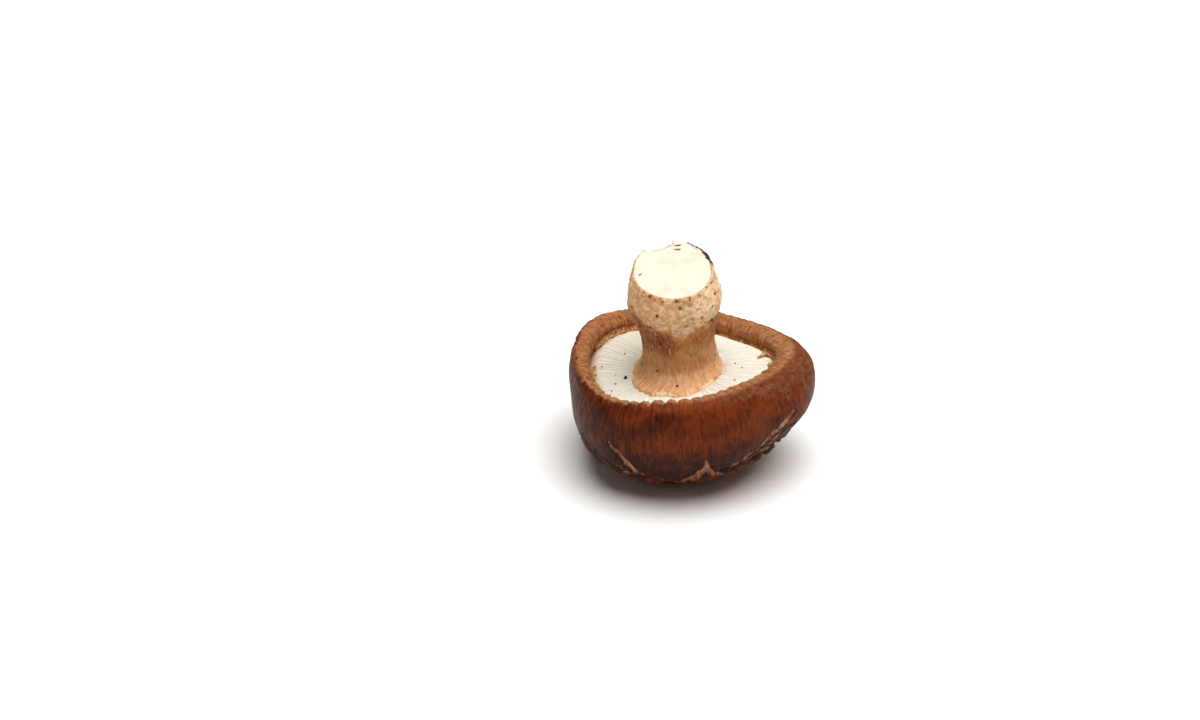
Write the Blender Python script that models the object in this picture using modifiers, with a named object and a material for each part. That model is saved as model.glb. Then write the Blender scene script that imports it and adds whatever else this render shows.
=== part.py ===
"""A shiitake mushroom at rest on the crown of its cap, stem up. Metres, +Z up.

Three sub-parts: the cap with its rolled rim, the ring of gills under it, and the stem with its cut
end. Each is turned round the mushroom's own axis, crown lowest, then grown lopsided by one shared
rule, and last leaned over and set down. The origin is the middle of the small flat that it rests on.
"""

import math

import bmesh
import bpy
from mathutils import Matrix, Vector

# Cap, turned about the stem's axis, with heights above the crown.
CAP_RADIUS = 0.0295
GIRTH_HEIGHT = 0.0205
CAP_DEPTH = 0.0300
CREST_RADIUS = 0.0252
OPENING_RADIUS = 0.0218
LIP_DROP = 0.0026
LIP_UNDERCUT = 0.0016

# Gills, standing on the flesh and ending free just under the rim's lip.
GILL_COUNT = 96
GILL_ROOT_HEIGHT = 0.0180
GILL_HEIGHT = 0.0084
GILL_PLEAT_DEPTH = 0.0022
PIECE_GAP = 0.0003

# Stem, with heights along its own axis above the gills' free edges.
STEM_ROOT_RADIUS = 0.0092
STEM_FOOT_RADIUS = 0.0108
STEM_WAIST_RADIUS = 0.0092
STEM_BULGE_RADIUS = 0.0112
STEM_END_RADIUS = 0.0096
STEM_LENGTH = 0.0286
STEM_WAIST_AT = 0.27
STEM_BULGE_AT = 0.70
CUT_TILT_BACK = math.radians(20)
CUT_TILT_LEFT = math.radians(3)
CHIP_RADIUS = 0.0036
CHIP_BEARING = math.radians(117)

# How the cap grew: one value for each eighth of a turn, anticlockwise from +X.
RIM_SPREAD = (1.12, 0.98, 1.01, 1.07, 0.96, 1.00, 0.99, 0.99)
RIM_RISE = (0.0000, -0.0017, -0.0004, 0.0022, 0.0010, 0.0000, 0.0008, 0.0004)
OPENING_SPREAD = (1.09, 0.99, 1.06, 1.14, 1.04, 1.06, 0.98, 0.93)
LOPSIDED_FROM = 0.006
LOPSIDED_FULL = 0.018

# How it rests.
LEAN = math.radians(5.2)
CROWN_FLAT_SINK = 0.0011

CAP_STEPS = 72
STEM_STEPS = 48
CUTTER_SIZE = 0.1


def clear_scene():
    for obj in list(bpy.data.objects):
        bpy.data.objects.remove(obj, do_unlink=True)


def new_collection(name, hidden=False):
    collection = bpy.data.collections.new(name)
    bpy.context.scene.collection.children.link(collection)
    collection.hide_render = hidden
    return collection


def new_material(name, colour, roughness):
    material = bpy.data.materials.new(name)
    material.use_nodes = True
    shader = material.node_tree.nodes["Principled BSDF"]
    shader.inputs["Base Color"].default_value = (*colour, 1.0)
    shader.inputs["Roughness"].default_value = roughness
    shader.inputs["Metallic"].default_value = 0.0
    return material


def smoothstep(low, high, value):
    share = min(1.0, max(0.0, (value - low) / (high - low)))
    return share * share * (3.0 - 2.0 * share)


def around(values, angle):
    """The value at an angle, on a smooth closed curve through equally spaced values."""
    count = len(values)
    place = angle / math.tau * count
    first = math.floor(place)
    t = place - first
    before, start, end, after = (values[(first + i) % count] for i in (-1, 0, 1, 2))
    slope_in = (end - before) / 2
    slope_out = (after - start) / 2
    return (
        start * (2 * t**3 - 3 * t**2 + 1)
        + slope_in * (t**3 - 2 * t**2 + t)
        + end * (3 * t**2 - 2 * t**3)
        + slope_out * (t**3 - t**2)
    )


def arc(centre, reach, first_degrees, last_degrees, steps):
    """Points on an ellipse's arc, both ends included, as (radius, height) pairs."""
    points = []
    for i in range(steps + 1):
        angle = math.radians(first_degrees + (last_degrees - first_degrees) * i / steps)
        points.append((centre[0] + reach[0] * math.cos(angle), centre[1] + reach[1] * math.sin(angle)))
    return points


def turned(name, outline, steps, closed=False):
    """A mesh turned round Z from an outline whose outer side runs from top to bottom."""
    mesh = bpy.data.meshes.new(name + "_outline")
    edges = [(i, i + 1) for i in range(len(outline) - 1)]
    if closed:
        edges.append((len(outline) - 1, 0))
    mesh.from_pydata([(r, 0.0, z) for r, z in outline], edges, [])
    guide = bpy.data.objects.new(name + "_outline", mesh)
    bpy.context.scene.collection.objects.link(guide)
    screw = guide.modifiers.new("turn", "SCREW")
    screw.axis = "Z"
    screw.angle = math.tau
    screw.steps = steps
    screw.render_steps = steps
    screw.use_merge_vertices = True
    screw.merge_threshold = 0.00005
    graph = bpy.context.evaluated_depsgraph_get()
    result = bpy.data.meshes.new_from_object(guide.evaluated_get(graph))
    bpy.data.objects.remove(guide)
    bpy.data.meshes.remove(mesh)
    result.name = name
    return result


def grown(point):
    """Moves a point of the turned shape to where the lopsided mushroom has it, still upright."""
    x, y, z = point
    radius = math.hypot(x, y)
    if radius < 1e-6:
        return Vector(point)
    angle = math.atan2(y, x)
    share = smoothstep(LOPSIDED_FROM, LOPSIDED_FULL, z)
    opening = OPENING_RADIUS * around(OPENING_SPREAD, angle)
    girth = CAP_RADIUS * around(RIM_SPREAD, angle)
    if radius <= STEM_FOOT_RADIUS:
        spread = radius
    elif radius <= OPENING_RADIUS:
        across = (radius - STEM_FOOT_RADIUS) / (OPENING_RADIUS - STEM_FOOT_RADIUS)
        spread = STEM_FOOT_RADIUS + across * (opening - STEM_FOOT_RADIUS)
    else:
        across = (radius - OPENING_RADIUS) / (CAP_RADIUS - OPENING_RADIUS)
        spread = opening + across * (girth - opening)
    new_radius = radius + (spread - radius) * share
    outward = smoothstep(STEM_FOOT_RADIUS, CREST_RADIUS, radius)
    rise = around(RIM_RISE, angle) * share * outward
    return Vector((new_radius * math.cos(angle), new_radius * math.sin(angle), z + rise))


def lowest_of_crown(turn):
    """Height of the crown's lowest point once the cap is leaned over."""
    lowest = 0.0
    for radius, height in arc((0.0, GIRTH_HEIGHT), (CAP_RADIUS, GIRTH_HEIGHT), -90, -45, 60):
        for side in (-1.0, 1.0):
            lowest = min(lowest, (turn @ Vector((side * radius, 0.0, height))).z)
    return lowest


def resting_matrix():
    """Leans the upright mushroom to -X and sets it down with its flat on Z = 0, centred on the origin."""
    turn = Matrix.Rotation(-LEAN, 4, "Y")
    shift_z = -(lowest_of_crown(turn) + CROWN_FLAT_SINK)
    centre_of_curve = Vector((0.0, 0.0, CAP_RADIUS**2 / GIRTH_HEIGHT))
    shift_x = -(turn @ centre_of_curve).x
    return Matrix.Translation((shift_x, 0.0, shift_z)) @ turn


def place(mesh, shape, matrix):
    for vertex in mesh.vertices:
        vertex.co = matrix @ shape(vertex.co)
    mesh.update()


def add_object(name, mesh, material, collection):
    obj = bpy.data.objects.new(name, mesh)
    collection.objects.link(obj)
    mesh.materials.clear()
    mesh.materials.append(material)
    mesh.shade_smooth()
    mesh.set_sharp_from_angle(angle=math.radians(40))
    return obj


def cut_with(obj, cutter, operation="DIFFERENCE"):
    boolean = obj.modifiers.new("cut_" + cutter.name, "BOOLEAN")
    boolean.operation = operation
    boolean.object = cutter


def add_cutter(name, collection, build, matrix):
    """A hidden helper mesh that build() fills, standing where the matrix puts it."""
    mesh = bpy.data.meshes.new(name)
    work = bmesh.new()
    build(work)
    bmesh.ops.transform(work, matrix=matrix, verts=work.verts)
    work.to_mesh(mesh)
    work.free()
    cutter = bpy.data.objects.new(name, mesh)
    collection.objects.link(cutter)
    cutter.hide_render = True
    cutter.display_type = "WIRE"
    return cutter


def cap_outline():
    """Floor of flesh, undercut, rolled rim and crown, from the axis out, over the rim and back in."""
    floor_radius = OPENING_RADIUS + LIP_UNDERCUT
    lip_height = CAP_DEPTH - LIP_DROP
    undercut_middle = (GILL_ROOT_HEIGHT + lip_height) / 2
    points = [
        (0.0, GILL_ROOT_HEIGHT),
        (OPENING_RADIUS / 2, GILL_ROOT_HEIGHT),
        (OPENING_RADIUS, GILL_ROOT_HEIGHT),
        (floor_radius, GILL_ROOT_HEIGHT + LIP_UNDERCUT),
        (floor_radius, undercut_middle),
    ]
    points += arc((CREST_RADIUS, lip_height), (CREST_RADIUS - OPENING_RADIUS, LIP_DROP), 180, 90, 6)
    rim_reach = (CAP_RADIUS - CREST_RADIUS, CAP_DEPTH - GIRTH_HEIGHT)
    points += arc((CREST_RADIUS, GIRTH_HEIGHT), rim_reach, 90, 0, 8)[1:]
    points += arc((0.0, GIRTH_HEIGHT), (CAP_RADIUS, GIRTH_HEIGHT), 0, -90, 14)[1:]
    return points


def make_cap(collection, material, matrix):
    mesh = turned("cap", cap_outline(), CAP_STEPS)
    place(mesh, grown, matrix)
    return add_object("cap", mesh, material, collection)


def gill_edge_height(radius):
    """Height of the gills' free edges: level beside the stem, falling away under the lip."""
    fall = smoothstep(OPENING_RADIUS * 0.88, OPENING_RADIUS + LIP_UNDERCUT, radius)
    return GILL_ROOT_HEIGHT + GILL_HEIGHT * (1.06 - 0.36 * fall)


def gill_outline():
    """One closed section of the ring: free edges on top, roots on the flesh below."""
    inner = STEM_FOOT_RADIUS + PIECE_GAP
    outer = OPENING_RADIUS + LIP_UNDERCUT - 2 * PIECE_GAP
    root = GILL_ROOT_HEIGHT + PIECE_GAP
    edge_count = 6
    points = []
    for i in range(edge_count):
        radius = inner + (outer - inner) * i / (edge_count - 1)
        points.append((radius, gill_edge_height(radius)))
    points.append((outer, root + LIP_UNDERCUT + PIECE_GAP))
    points.append((OPENING_RADIUS - PIECE_GAP, root))
    points.append((STEM_ROOT_RADIUS + 2 * PIECE_GAP, root))
    return points


def pleated(point):
    """Sinks every other column of the gill ring's upper side, which leaves the gills standing."""
    x, y, z = point
    column = round(math.atan2(y, x) / math.tau * 2 * GILL_COUNT)
    is_edge = z > GILL_ROOT_HEIGHT + GILL_HEIGHT * 0.5
    if column % 2 and is_edge:
        return grown((x, y, z - GILL_PLEAT_DEPTH))
    return grown(point)


def make_gills(collection, material, matrix):
    mesh = turned("gills", gill_outline(), 2 * GILL_COUNT, closed=True)
    place(mesh, pleated, matrix)
    return add_object("gills", mesh, material, collection)


def stem_radius(share):
    """Radius at a share of the stem's length above the gills: flared foot, waist, bulge, cut end."""
    if share < STEM_WAIST_AT:
        t = (1.0 - share / STEM_WAIST_AT) ** 2.2
        return STEM_WAIST_RADIUS + (STEM_FOOT_RADIUS - STEM_WAIST_RADIUS) * t
    if share < STEM_BULGE_AT:
        t = smoothstep(STEM_WAIST_AT, STEM_BULGE_AT, share)
        return STEM_WAIST_RADIUS + (STEM_BULGE_RADIUS - STEM_WAIST_RADIUS) * t
    t = smoothstep(STEM_BULGE_AT, 1.15, share)
    return STEM_BULGE_RADIUS + (STEM_END_RADIUS - 0.0012 - STEM_BULGE_RADIUS) * t


def stem_outline():
    """From past the cut end down the outside to the root, which stands on the flesh."""
    foot_height = GILL_ROOT_HEIGHT + GILL_HEIGHT
    ring_count = 24
    over_length = 1.25
    points = [(0.0, foot_height + over_length * STEM_LENGTH)]
    for i in range(ring_count + 1):
        share = over_length * (1.0 - i / ring_count)
        points.append((stem_radius(share), foot_height + share * STEM_LENGTH))
    root = GILL_ROOT_HEIGHT + PIECE_GAP
    points.append((STEM_ROOT_RADIUS + PIECE_GAP, (foot_height + root) / 2))
    points.append((STEM_ROOT_RADIUS, root))
    points.append((0.0, root))
    return points


def stem_section(point):
    """Makes the turned stem a little oval and uneven, more so towards its bulge."""
    x, y, z = point
    angle = math.atan2(y, x)
    share = (z - GILL_ROOT_HEIGHT - GILL_HEIGHT) / STEM_LENGTH
    amount = smoothstep(0.0, 0.7, share)
    factor = 1.0 + amount * (0.02 * math.cos(2 * angle + 0.5) + 0.015 * math.cos(3 * angle + 1.9))
    return Vector((x * factor, y * factor, z))


def make_stem(collection, cutters, material, matrix):
    mesh = turned("stem", stem_outline(), STEM_STEPS)
    place(mesh, stem_section, matrix)
    stem = add_object("stem", mesh, material, collection)

    end = Vector((0.0, 0.0, GILL_ROOT_HEIGHT + GILL_HEIGHT + STEM_LENGTH))
    end = matrix @ end
    tilt = Matrix.Rotation(CUT_TILT_BACK, 4, "X") @ Matrix.Rotation(-CUT_TILT_LEFT, 4, "Y")
    above = Matrix.Translation((0.0, 0.0, CUTTER_SIZE / 2))
    slicer = add_cutter(
        "stem_slicer",
        cutters,
        lambda work: bmesh.ops.create_cube(work, size=CUTTER_SIZE),
        Matrix.Translation(end) @ tilt @ above,
    )
    cut_with(stem, slicer)

    chip_offset = STEM_END_RADIUS + CHIP_RADIUS * 0.22
    bearing = Vector((math.cos(CHIP_BEARING), math.sin(CHIP_BEARING), 0.0)) * chip_offset
    chipper = add_cutter(
        "stem_chipper",
        cutters,
        lambda work: bmesh.ops.create_uvsphere(work, u_segments=20, v_segments=12, radius=CHIP_RADIUS),
        Matrix.Translation(end) @ tilt @ Matrix.Translation(bearing) @ Matrix.Diagonal((1.5, 1.0, 1.0, 1.0)),
    )
    cut_with(stem, chipper)
    return stem


def flatten_crown(cap, cutters):
    """Takes off the lowest of the crown, which leaves the flat that the mushroom rests on."""
    below = Matrix.Translation((0.0, 0.0, -CUTTER_SIZE / 2))
    floor = add_cutter(
        "crown_floor",
        cutters,
        lambda work: bmesh.ops.create_cube(work, size=CUTTER_SIZE),
        below,
    )
    cut_with(cap, floor)


def main():
    clear_scene()
    parts = new_collection("shiitake_mushroom")
    cutters = new_collection("cutters", hidden=True)
    matrix = resting_matrix()
    skin = new_material("cap_skin", (0.17, 0.055, 0.022), 0.45)
    cream = new_material("gill_cream", (0.86, 0.80, 0.62), 0.70)
    tan = new_material("stem_tan", (0.66, 0.50, 0.34), 0.80)
    cap = make_cap(parts, skin, matrix)
    flatten_crown(cap, cutters)
    make_gills(parts, cream, matrix)
    make_stem(parts, cutters, tan, matrix)


main()
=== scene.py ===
"""A shiitake mushroom at rest on the crown of its cap: the finish of every surface, and its stage.

The cap, the gills and the stem grow from the same rules as the construction, in far finer meshes,
with their folds, cracks and fibres modelled. What repeats, such as gills, fibrils and specks of
earth, is scattered by Geometry Nodes. Metres throughout, with the crown's flat on the origin.
"""

import math

import bmesh
import bpy
import numpy as np
from mathutils import Matrix, Vector


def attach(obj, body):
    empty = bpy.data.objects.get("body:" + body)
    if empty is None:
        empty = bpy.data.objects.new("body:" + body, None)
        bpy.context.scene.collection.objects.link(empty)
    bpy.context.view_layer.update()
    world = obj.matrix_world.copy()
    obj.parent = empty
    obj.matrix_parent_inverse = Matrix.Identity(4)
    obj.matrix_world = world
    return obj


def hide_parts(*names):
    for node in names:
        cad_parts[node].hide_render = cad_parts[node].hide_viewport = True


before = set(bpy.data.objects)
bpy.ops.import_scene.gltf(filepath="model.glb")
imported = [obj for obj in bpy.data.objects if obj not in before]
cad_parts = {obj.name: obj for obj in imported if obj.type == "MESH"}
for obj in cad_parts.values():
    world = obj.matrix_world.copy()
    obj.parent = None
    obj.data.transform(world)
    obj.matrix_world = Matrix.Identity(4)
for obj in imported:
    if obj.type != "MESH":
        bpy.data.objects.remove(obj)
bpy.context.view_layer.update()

bl_info = {
    "name": "Shiitake Mushroom",
    "version": (1, 0, 0),
    "blender": (4, 5, 0),
    "location": "3D View > Sidebar > Shiitake",
    "description": "Builds a fresh shiitake mushroom with its rolled cap, gills and cut stem",
    "category": "Add Mesh",
}

# Cap, turned about the stem's axis, with heights above the crown.
CAP_RADIUS = 0.0295
GIRTH_HEIGHT = 0.0205
CAP_DEPTH = 0.0300
CREST_RADIUS = 0.0252
OPENING_RADIUS = 0.0218
LIP_DROP = 0.0026
LIP_UNDERCUT = 0.0016

# Gills, and the stem's axis above their free edges.
GILL_ROOT_HEIGHT = 0.0180
GILL_HEIGHT = 0.0084
STEM_FOOT_RADIUS = 0.0108
STEM_WAIST_RADIUS = 0.0092
STEM_BULGE_RADIUS = 0.0112
STEM_END_RADIUS = 0.0096
STEM_LENGTH = 0.0286
STEM_WAIST_AT = 0.27
STEM_BULGE_AT = 0.70
CUT_TILT_BACK = math.radians(20)
CUT_TILT_LEFT = math.radians(3)
CHIP_RADIUS = 0.0036
CHIP_BEARING = math.radians(117)

# How the cap grew: one value for each eighth of a turn, anticlockwise from +X.
RIM_SPREAD = (1.12, 0.98, 1.01, 1.07, 0.96, 1.00, 0.99, 0.99)
RIM_RISE = (0.0000, -0.0017, -0.0004, 0.0022, 0.0010, 0.0000, 0.0008, 0.0004)
OPENING_SPREAD = (1.09, 0.99, 1.06, 1.14, 1.04, 1.06, 0.98, 0.93)
LOPSIDED_FROM = 0.006
LOPSIDED_FULL = 0.018
LEAN = math.radians(5.2)
CROWN_FLAT_SINK = 0.0011

# Radius of the stem's foot where it meets the gills, and how far a thin skirt runs on over them.
FOOT_REACH = (0.0101, 0.0100, 0.0106, 0.0110, 0.0110, 0.0124, 0.0128, 0.0110)
SKIRT_REACH = (0.0004, 0.0004, 0.0006, 0.0007, 0.0010, 0.0025, 0.0024, 0.0010)
# Share of the stem's length at which its pale cottony coat ends, for each sixteenth of a turn.
COAT_END = (
    0.62, 0.60, 0.56, 0.55, 0.54, 0.57, 0.60, 0.64,
    0.68, 0.68, 0.64, 0.56, 0.52, 0.51, 0.56, 0.60,
)
# Polar angle from the crown at which the glossy side gives way to the matt rim.
RIM_FROM_DEGREES = (97, 100, 104, 104, 112, 124, 124, 108)

# Grid sizes of the three grown pieces.
CAP_COLUMNS = 540
STEM_COLUMNS = 288
BED_COLUMNS = 360
BED_ROWS = 30
SKIRT_ROWS = 30
STEM_ROWS = 158
CUT_ROWS = 56
# Rows spent on the cap's outline: the share of its length to reach, and the rows up to there.
CAP_ROWS = ((0.20, 6), (0.275, 12), (0.42, 52), (1.0, 112))

MM = 0.001
GILL_TOP = GILL_ROOT_HEIGHT + GILL_HEIGHT
GILL_OUTER_RADIUS = OPENING_RADIUS + LIP_UNDERCUT - 0.4 * MM
GILL_INNER_RADIUS = 9.0 * MM
BED_INNER_RADIUS = 8.5 * MM
BLADE_EDGE_ANGLE = math.radians(50)
FIBRIL_LENGTH = 0.7 * MM
FIBRIL_WIDTH = 0.055 * MM
FUZZ_WIDTH = 0.07 * MM

# Stage: the floor's half width, where the overhead light stands and its tint, and the film.
FLOOR_HALF = 3.0
KEY_FROM = (0.14, -0.04, 0.95)
KEY_TINT = (1.0, 0.985, 0.955)
SENSOR_WIDTH_MM = 36.0
CUT_TILT = np.array(Matrix.Rotation(CUT_TILT_BACK, 3, "X") @ Matrix.Rotation(-CUT_TILT_LEFT, 3, "Y"))


# ---------------------------------------------------------------- how the mushroom grew

def smoothstep(low, high, value):
    share = np.clip((value - low) / (high - low), 0.0, 1.0)
    return share * share * (3.0 - 2.0 * share)


def around(values, angle):
    """The value at an angle, on a smooth closed curve through equally spaced values."""
    values = np.asarray(values, float)
    count = len(values)
    place = np.asarray(angle) / math.tau * count
    first = np.floor(place).astype(int)
    t = place - first
    before, start, end, after = (values[(first + i) % count] for i in (-1, 0, 1, 2))
    slope_in = (end - before) / 2
    slope_out = (after - start) / 2
    return (
        start * (2 * t**3 - 3 * t**2 + 1)
        + slope_in * (t**3 - 2 * t**2 + t)
        + end * (3 * t**2 - 2 * t**3)
        + slope_out * (t**3 - t**2)
    )


def turned(radius, angle, height):
    """Points at each radius, angle and height about the stem's axis."""
    across, along = radius * np.cos(angle), radius * np.sin(angle)
    return np.stack(np.broadcast_arrays(across, along, height), -1)


def turn_from(angle, start):
    """The turn from a starting angle to each angle, from half a turn back to half a turn on."""
    return (angle - start + math.pi) % math.tau - math.pi


def bearing_gap(angle, degrees):
    """How far each angle is from a bearing, either way, in radians."""
    return np.abs(turn_from(angle, math.radians(degrees)))


def arc(centre, reach, first_degrees, last_degrees, steps):
    """Points on an ellipse's arc, both ends included, as rows of radius and height."""
    angle = np.radians(np.linspace(first_degrees, last_degrees, steps + 1))
    return np.stack([centre[0] + reach[0] * np.cos(angle), centre[1] + reach[1] * np.sin(angle)], 1)


def grown(points):
    """Moves points of the turned shape to where the lopsided mushroom has them, still upright."""
    x, y, z = points[..., 0], points[..., 1], points[..., 2]
    radius = np.hypot(x, y)
    angle = np.arctan2(y, x)
    share = smoothstep(LOPSIDED_FROM, LOPSIDED_FULL, z)
    opening = OPENING_RADIUS * around(OPENING_SPREAD, angle)
    girth = CAP_RADIUS * around(RIM_SPREAD, angle)
    under = (radius - STEM_FOOT_RADIUS) / (OPENING_RADIUS - STEM_FOOT_RADIUS)
    over = (radius - OPENING_RADIUS) / (CAP_RADIUS - OPENING_RADIUS)
    spread = np.where(
        radius <= OPENING_RADIUS,
        STEM_FOOT_RADIUS + under * (opening - STEM_FOOT_RADIUS),
        opening + over * (girth - opening),
    )
    spread = np.where(radius <= STEM_FOOT_RADIUS, radius, spread)
    new_radius = radius + (spread - radius) * share
    outward = smoothstep(STEM_FOOT_RADIUS, CREST_RADIUS, radius)
    rise = around(RIM_RISE, angle) * share * outward
    return turned(new_radius, angle, z + rise)


def resting_matrix():
    """Leans the upright mushroom to -X and sets it down with its flat on the origin."""
    turn = np.array(Matrix.Rotation(-LEAN, 3, "Y"))
    crown = arc((0.0, GIRTH_HEIGHT), (CAP_RADIUS, GIRTH_HEIGHT), -90, -45, 60)
    both_sides = [(side * radius, 0.0, height) for radius, height in crown for side in (-1, 1)]
    heights = [(turn @ np.array(point))[2] for point in both_sides]
    centre_of_curve = turn @ np.array([0.0, 0.0, CAP_RADIUS**2 / GIRTH_HEIGHT])
    shift = np.array([-centre_of_curve[0], 0.0, -(min(heights) + CROWN_FLAT_SINK)])
    return turn, shift


TURN, SHIFT = resting_matrix()
STEM_AXIS = TURN @ np.array([0.0, 0.0, 1.0])


def rested(points):
    """Takes points of the upright mushroom to where it lies."""
    return points @ TURN.T + SHIFT


def gill_edge_height(radius):
    """Height of the gills' free edges: level beside the stem, falling away under the lip."""
    fall = smoothstep(OPENING_RADIUS * 0.88, OPENING_RADIUS + LIP_UNDERCUT, radius)
    return GILL_ROOT_HEIGHT + GILL_HEIGHT * (1.06 - 0.36 * fall)


# ---------------------------------------------------------------- noise

def lattice_hash(cell, seed):
    """A well mixed 32-bit number for each whole-number cell."""
    mask = np.uint64(0xFFFFFFFF)
    x, y, z = (cell[..., i].astype(np.int64).astype(np.uint64) for i in range(3))
    n = (x * np.uint64(73856093)) ^ (y * np.uint64(19349663)) ^ (z * np.uint64(83492791))
    n = (n ^ np.uint64(seed * 2654435761 & 0xFFFFFFFF)) & mask
    n = ((n ^ (n >> np.uint64(15))) * np.uint64(2246822519)) & mask
    n = ((n ^ (n >> np.uint64(13))) * np.uint64(3266489917)) & mask
    return n ^ (n >> np.uint64(16))


def three_of(number):
    """Three values from -1 to 1 out of one hashed number."""
    ten_bits = np.uint64(1023)
    parts = [((number >> np.uint64(shift)) & ten_bits).astype(float) for shift in (0, 10, 20)]
    return np.stack(parts, -1) / 511.5 - 1.0


def noise(points, size, seed=0):
    """Smooth noise from about -1 to 1 whose bumps are about one size across."""
    place = points / size
    base = np.floor(place)
    rest = place - base
    ease = rest**3 * (rest * (rest * 6 - 15) + 10)
    total = np.zeros(points.shape[:-1])
    for corner in np.ndindex(2, 2, 2):
        step = np.array(corner, float)
        slope = three_of(lattice_hash(base + step, seed))
        weight = np.prod(np.where(step > 0, ease, 1.0 - ease), axis=-1)
        total += weight * np.sum(slope * (rest - step), axis=-1)
    return total * 1.4


def noises(points, size, seeds):
    """A noise for each seed, side by side as a vector."""
    return np.stack([noise(points, size, seed) for seed in seeds], -1)


def fractal(points, size, octaves, seed=0):
    """Noise with finer and fainter noise on it."""
    return sum(noise(points, size / 2**i, seed + i) / 2**i for i in range(octaves))


def folds(points, size, seed=0):
    """Noise creased into ridges: 1 on a ridge's crest, falling to about 0."""
    return 1.0 - np.abs(noise(points, size, seed)) * 2.0


def cells(points, size, seed=0):
    """For each point, the distances to the nearest two of scattered centres."""
    place = points / size
    base = np.floor(place)
    nearest = np.full(points.shape[:-1], 9.0)
    second = np.full(points.shape[:-1], 9.0)
    for step in np.ndindex(3, 3, 3):
        cell = base + np.array(step, float) - 1.0
        centre = cell + 0.5 + 0.45 * three_of(lattice_hash(cell, seed))
        distance = np.linalg.norm(place - centre, axis=-1)
        closer = distance < nearest
        second = np.where(closer, nearest, np.minimum(second, distance))
        nearest = np.where(closer, distance, nearest)
    return nearest, second


# ---------------------------------------------------------------- meshes

def resampled(outline, lengths_and_rows):
    """Rows along an outline; each pair gives the share of its length to reach and the rows."""
    steps = np.linalg.norm(np.diff(outline, axis=0), axis=1)
    along = np.concatenate([[0.0], np.cumsum(steps)])
    shares = [0.0]
    for reach, rows in lengths_and_rows:
        shares += list(np.linspace(shares[-1], reach, rows + 1)[1:])
    wanted = np.array(shares) * along[-1]
    return np.stack([np.interp(wanted, along, outline[:, i]) for i in (0, 1)], 1)


def grid_normals(grid, facing):
    """Normals of a grid of rows by closed columns, turned outward by a facing of 1 or -1."""
    down = np.gradient(grid, axis=0)
    across = np.roll(grid, -1, axis=1) - np.roll(grid, 1, axis=1)
    normal = np.cross(across, down) * facing
    length = np.linalg.norm(normal, axis=-1, keepdims=True)
    return normal / np.maximum(length, 1e-12)


def mesh_of_grid(name, grid, poles=(True, True), facing=1):
    """A mesh of a grid whose columns close on themselves, with each wanted end drawn to a point."""
    rows, columns = grid.shape[:2]
    points = grid.reshape(-1, 3)
    row, column = np.meshgrid(np.arange(rows - 1), np.arange(columns), indexing="ij")
    beside = (column + 1) % columns
    corners = [row * columns + column, row * columns + beside,
               (row + 1) * columns + beside, (row + 1) * columns + column]
    faces = np.stack(corners, -1).reshape(-1, 4).tolist()
    extra = []
    for wanted, end, order in ((poles[0], 0, 1), (poles[1], rows - 1, -1)):
        if not wanted:
            continue
        tip = len(points) + len(extra)
        extra.append(grid[end].mean(axis=0))
        ring = [end * columns + c for c in range(columns)]
        for a, b in zip(ring, ring[1:] + ring[:1]):
            faces.append([tip, b, a][::order])
    if extra:
        points = np.concatenate([points, np.array(extra)])
    if facing < 0:
        faces = [face[::-1] for face in faces]
    mesh = bpy.data.meshes.new(name)
    mesh.from_pydata(points.tolist(), [], faces)
    mesh.update()
    return mesh


def keep_value(mesh, name, flat):
    """Keeps a number or a vector for each point on a mesh."""
    kind, key = ("FLOAT_VECTOR", "vector") if flat.ndim == 2 else ("FLOAT", "value")
    attribute = mesh.attributes.new(name, kind, "POINT")
    attribute.data.foreach_set(key, flat.astype(np.float32).ravel())


def keep_values(mesh, values):
    """Keeps the named values of a grid on its mesh, with each end row's mean at its pole."""
    for name, value in values.items():
        flat = value.reshape(-1, 3) if value.ndim == 3 else value.reshape(-1)
        missing = len(mesh.vertices) - len(flat)
        if missing:
            ends = [value[0].mean(axis=0), value[-1].mean(axis=0)][-missing:]
            flat = np.concatenate([flat, np.array(ends).reshape(missing, *flat.shape[1:])])
        keep_value(mesh, name, flat)


def close_seams(mesh):
    """Joins points that lie on one another."""
    work = bmesh.new()
    work.from_mesh(mesh)
    bmesh.ops.remove_doubles(work, verts=work.verts, dist=0.001 * MM)
    work.to_mesh(mesh)
    work.free()
    mesh.update()


def linked(name, data):
    """A new object in the scene."""
    made = bpy.data.objects.new(name, data)
    bpy.context.scene.collection.objects.link(made)
    return made


def plain_mesh_of(holder):
    """The mesh that an object's modifiers make; the object itself goes."""
    graph = bpy.context.evaluated_depsgraph_get()
    mesh = bpy.data.meshes.new_from_object(holder.evaluated_get(graph))
    holder.modifiers.clear()
    bpy.data.objects.remove(holder)
    return mesh


def add_piece(name, mesh, material, replaced=()):
    """Puts a finished mesh in the scene as a piece of the mushroom."""
    piece = linked(name, mesh)
    if material is not None:
        mesh.materials.clear()
        mesh.materials.append(material)
    mesh.shade_smooth()
    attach(piece, "root")
    if replaced:
        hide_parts(*replaced)
    return piece


# ---------------------------------------------------------------- materials

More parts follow.
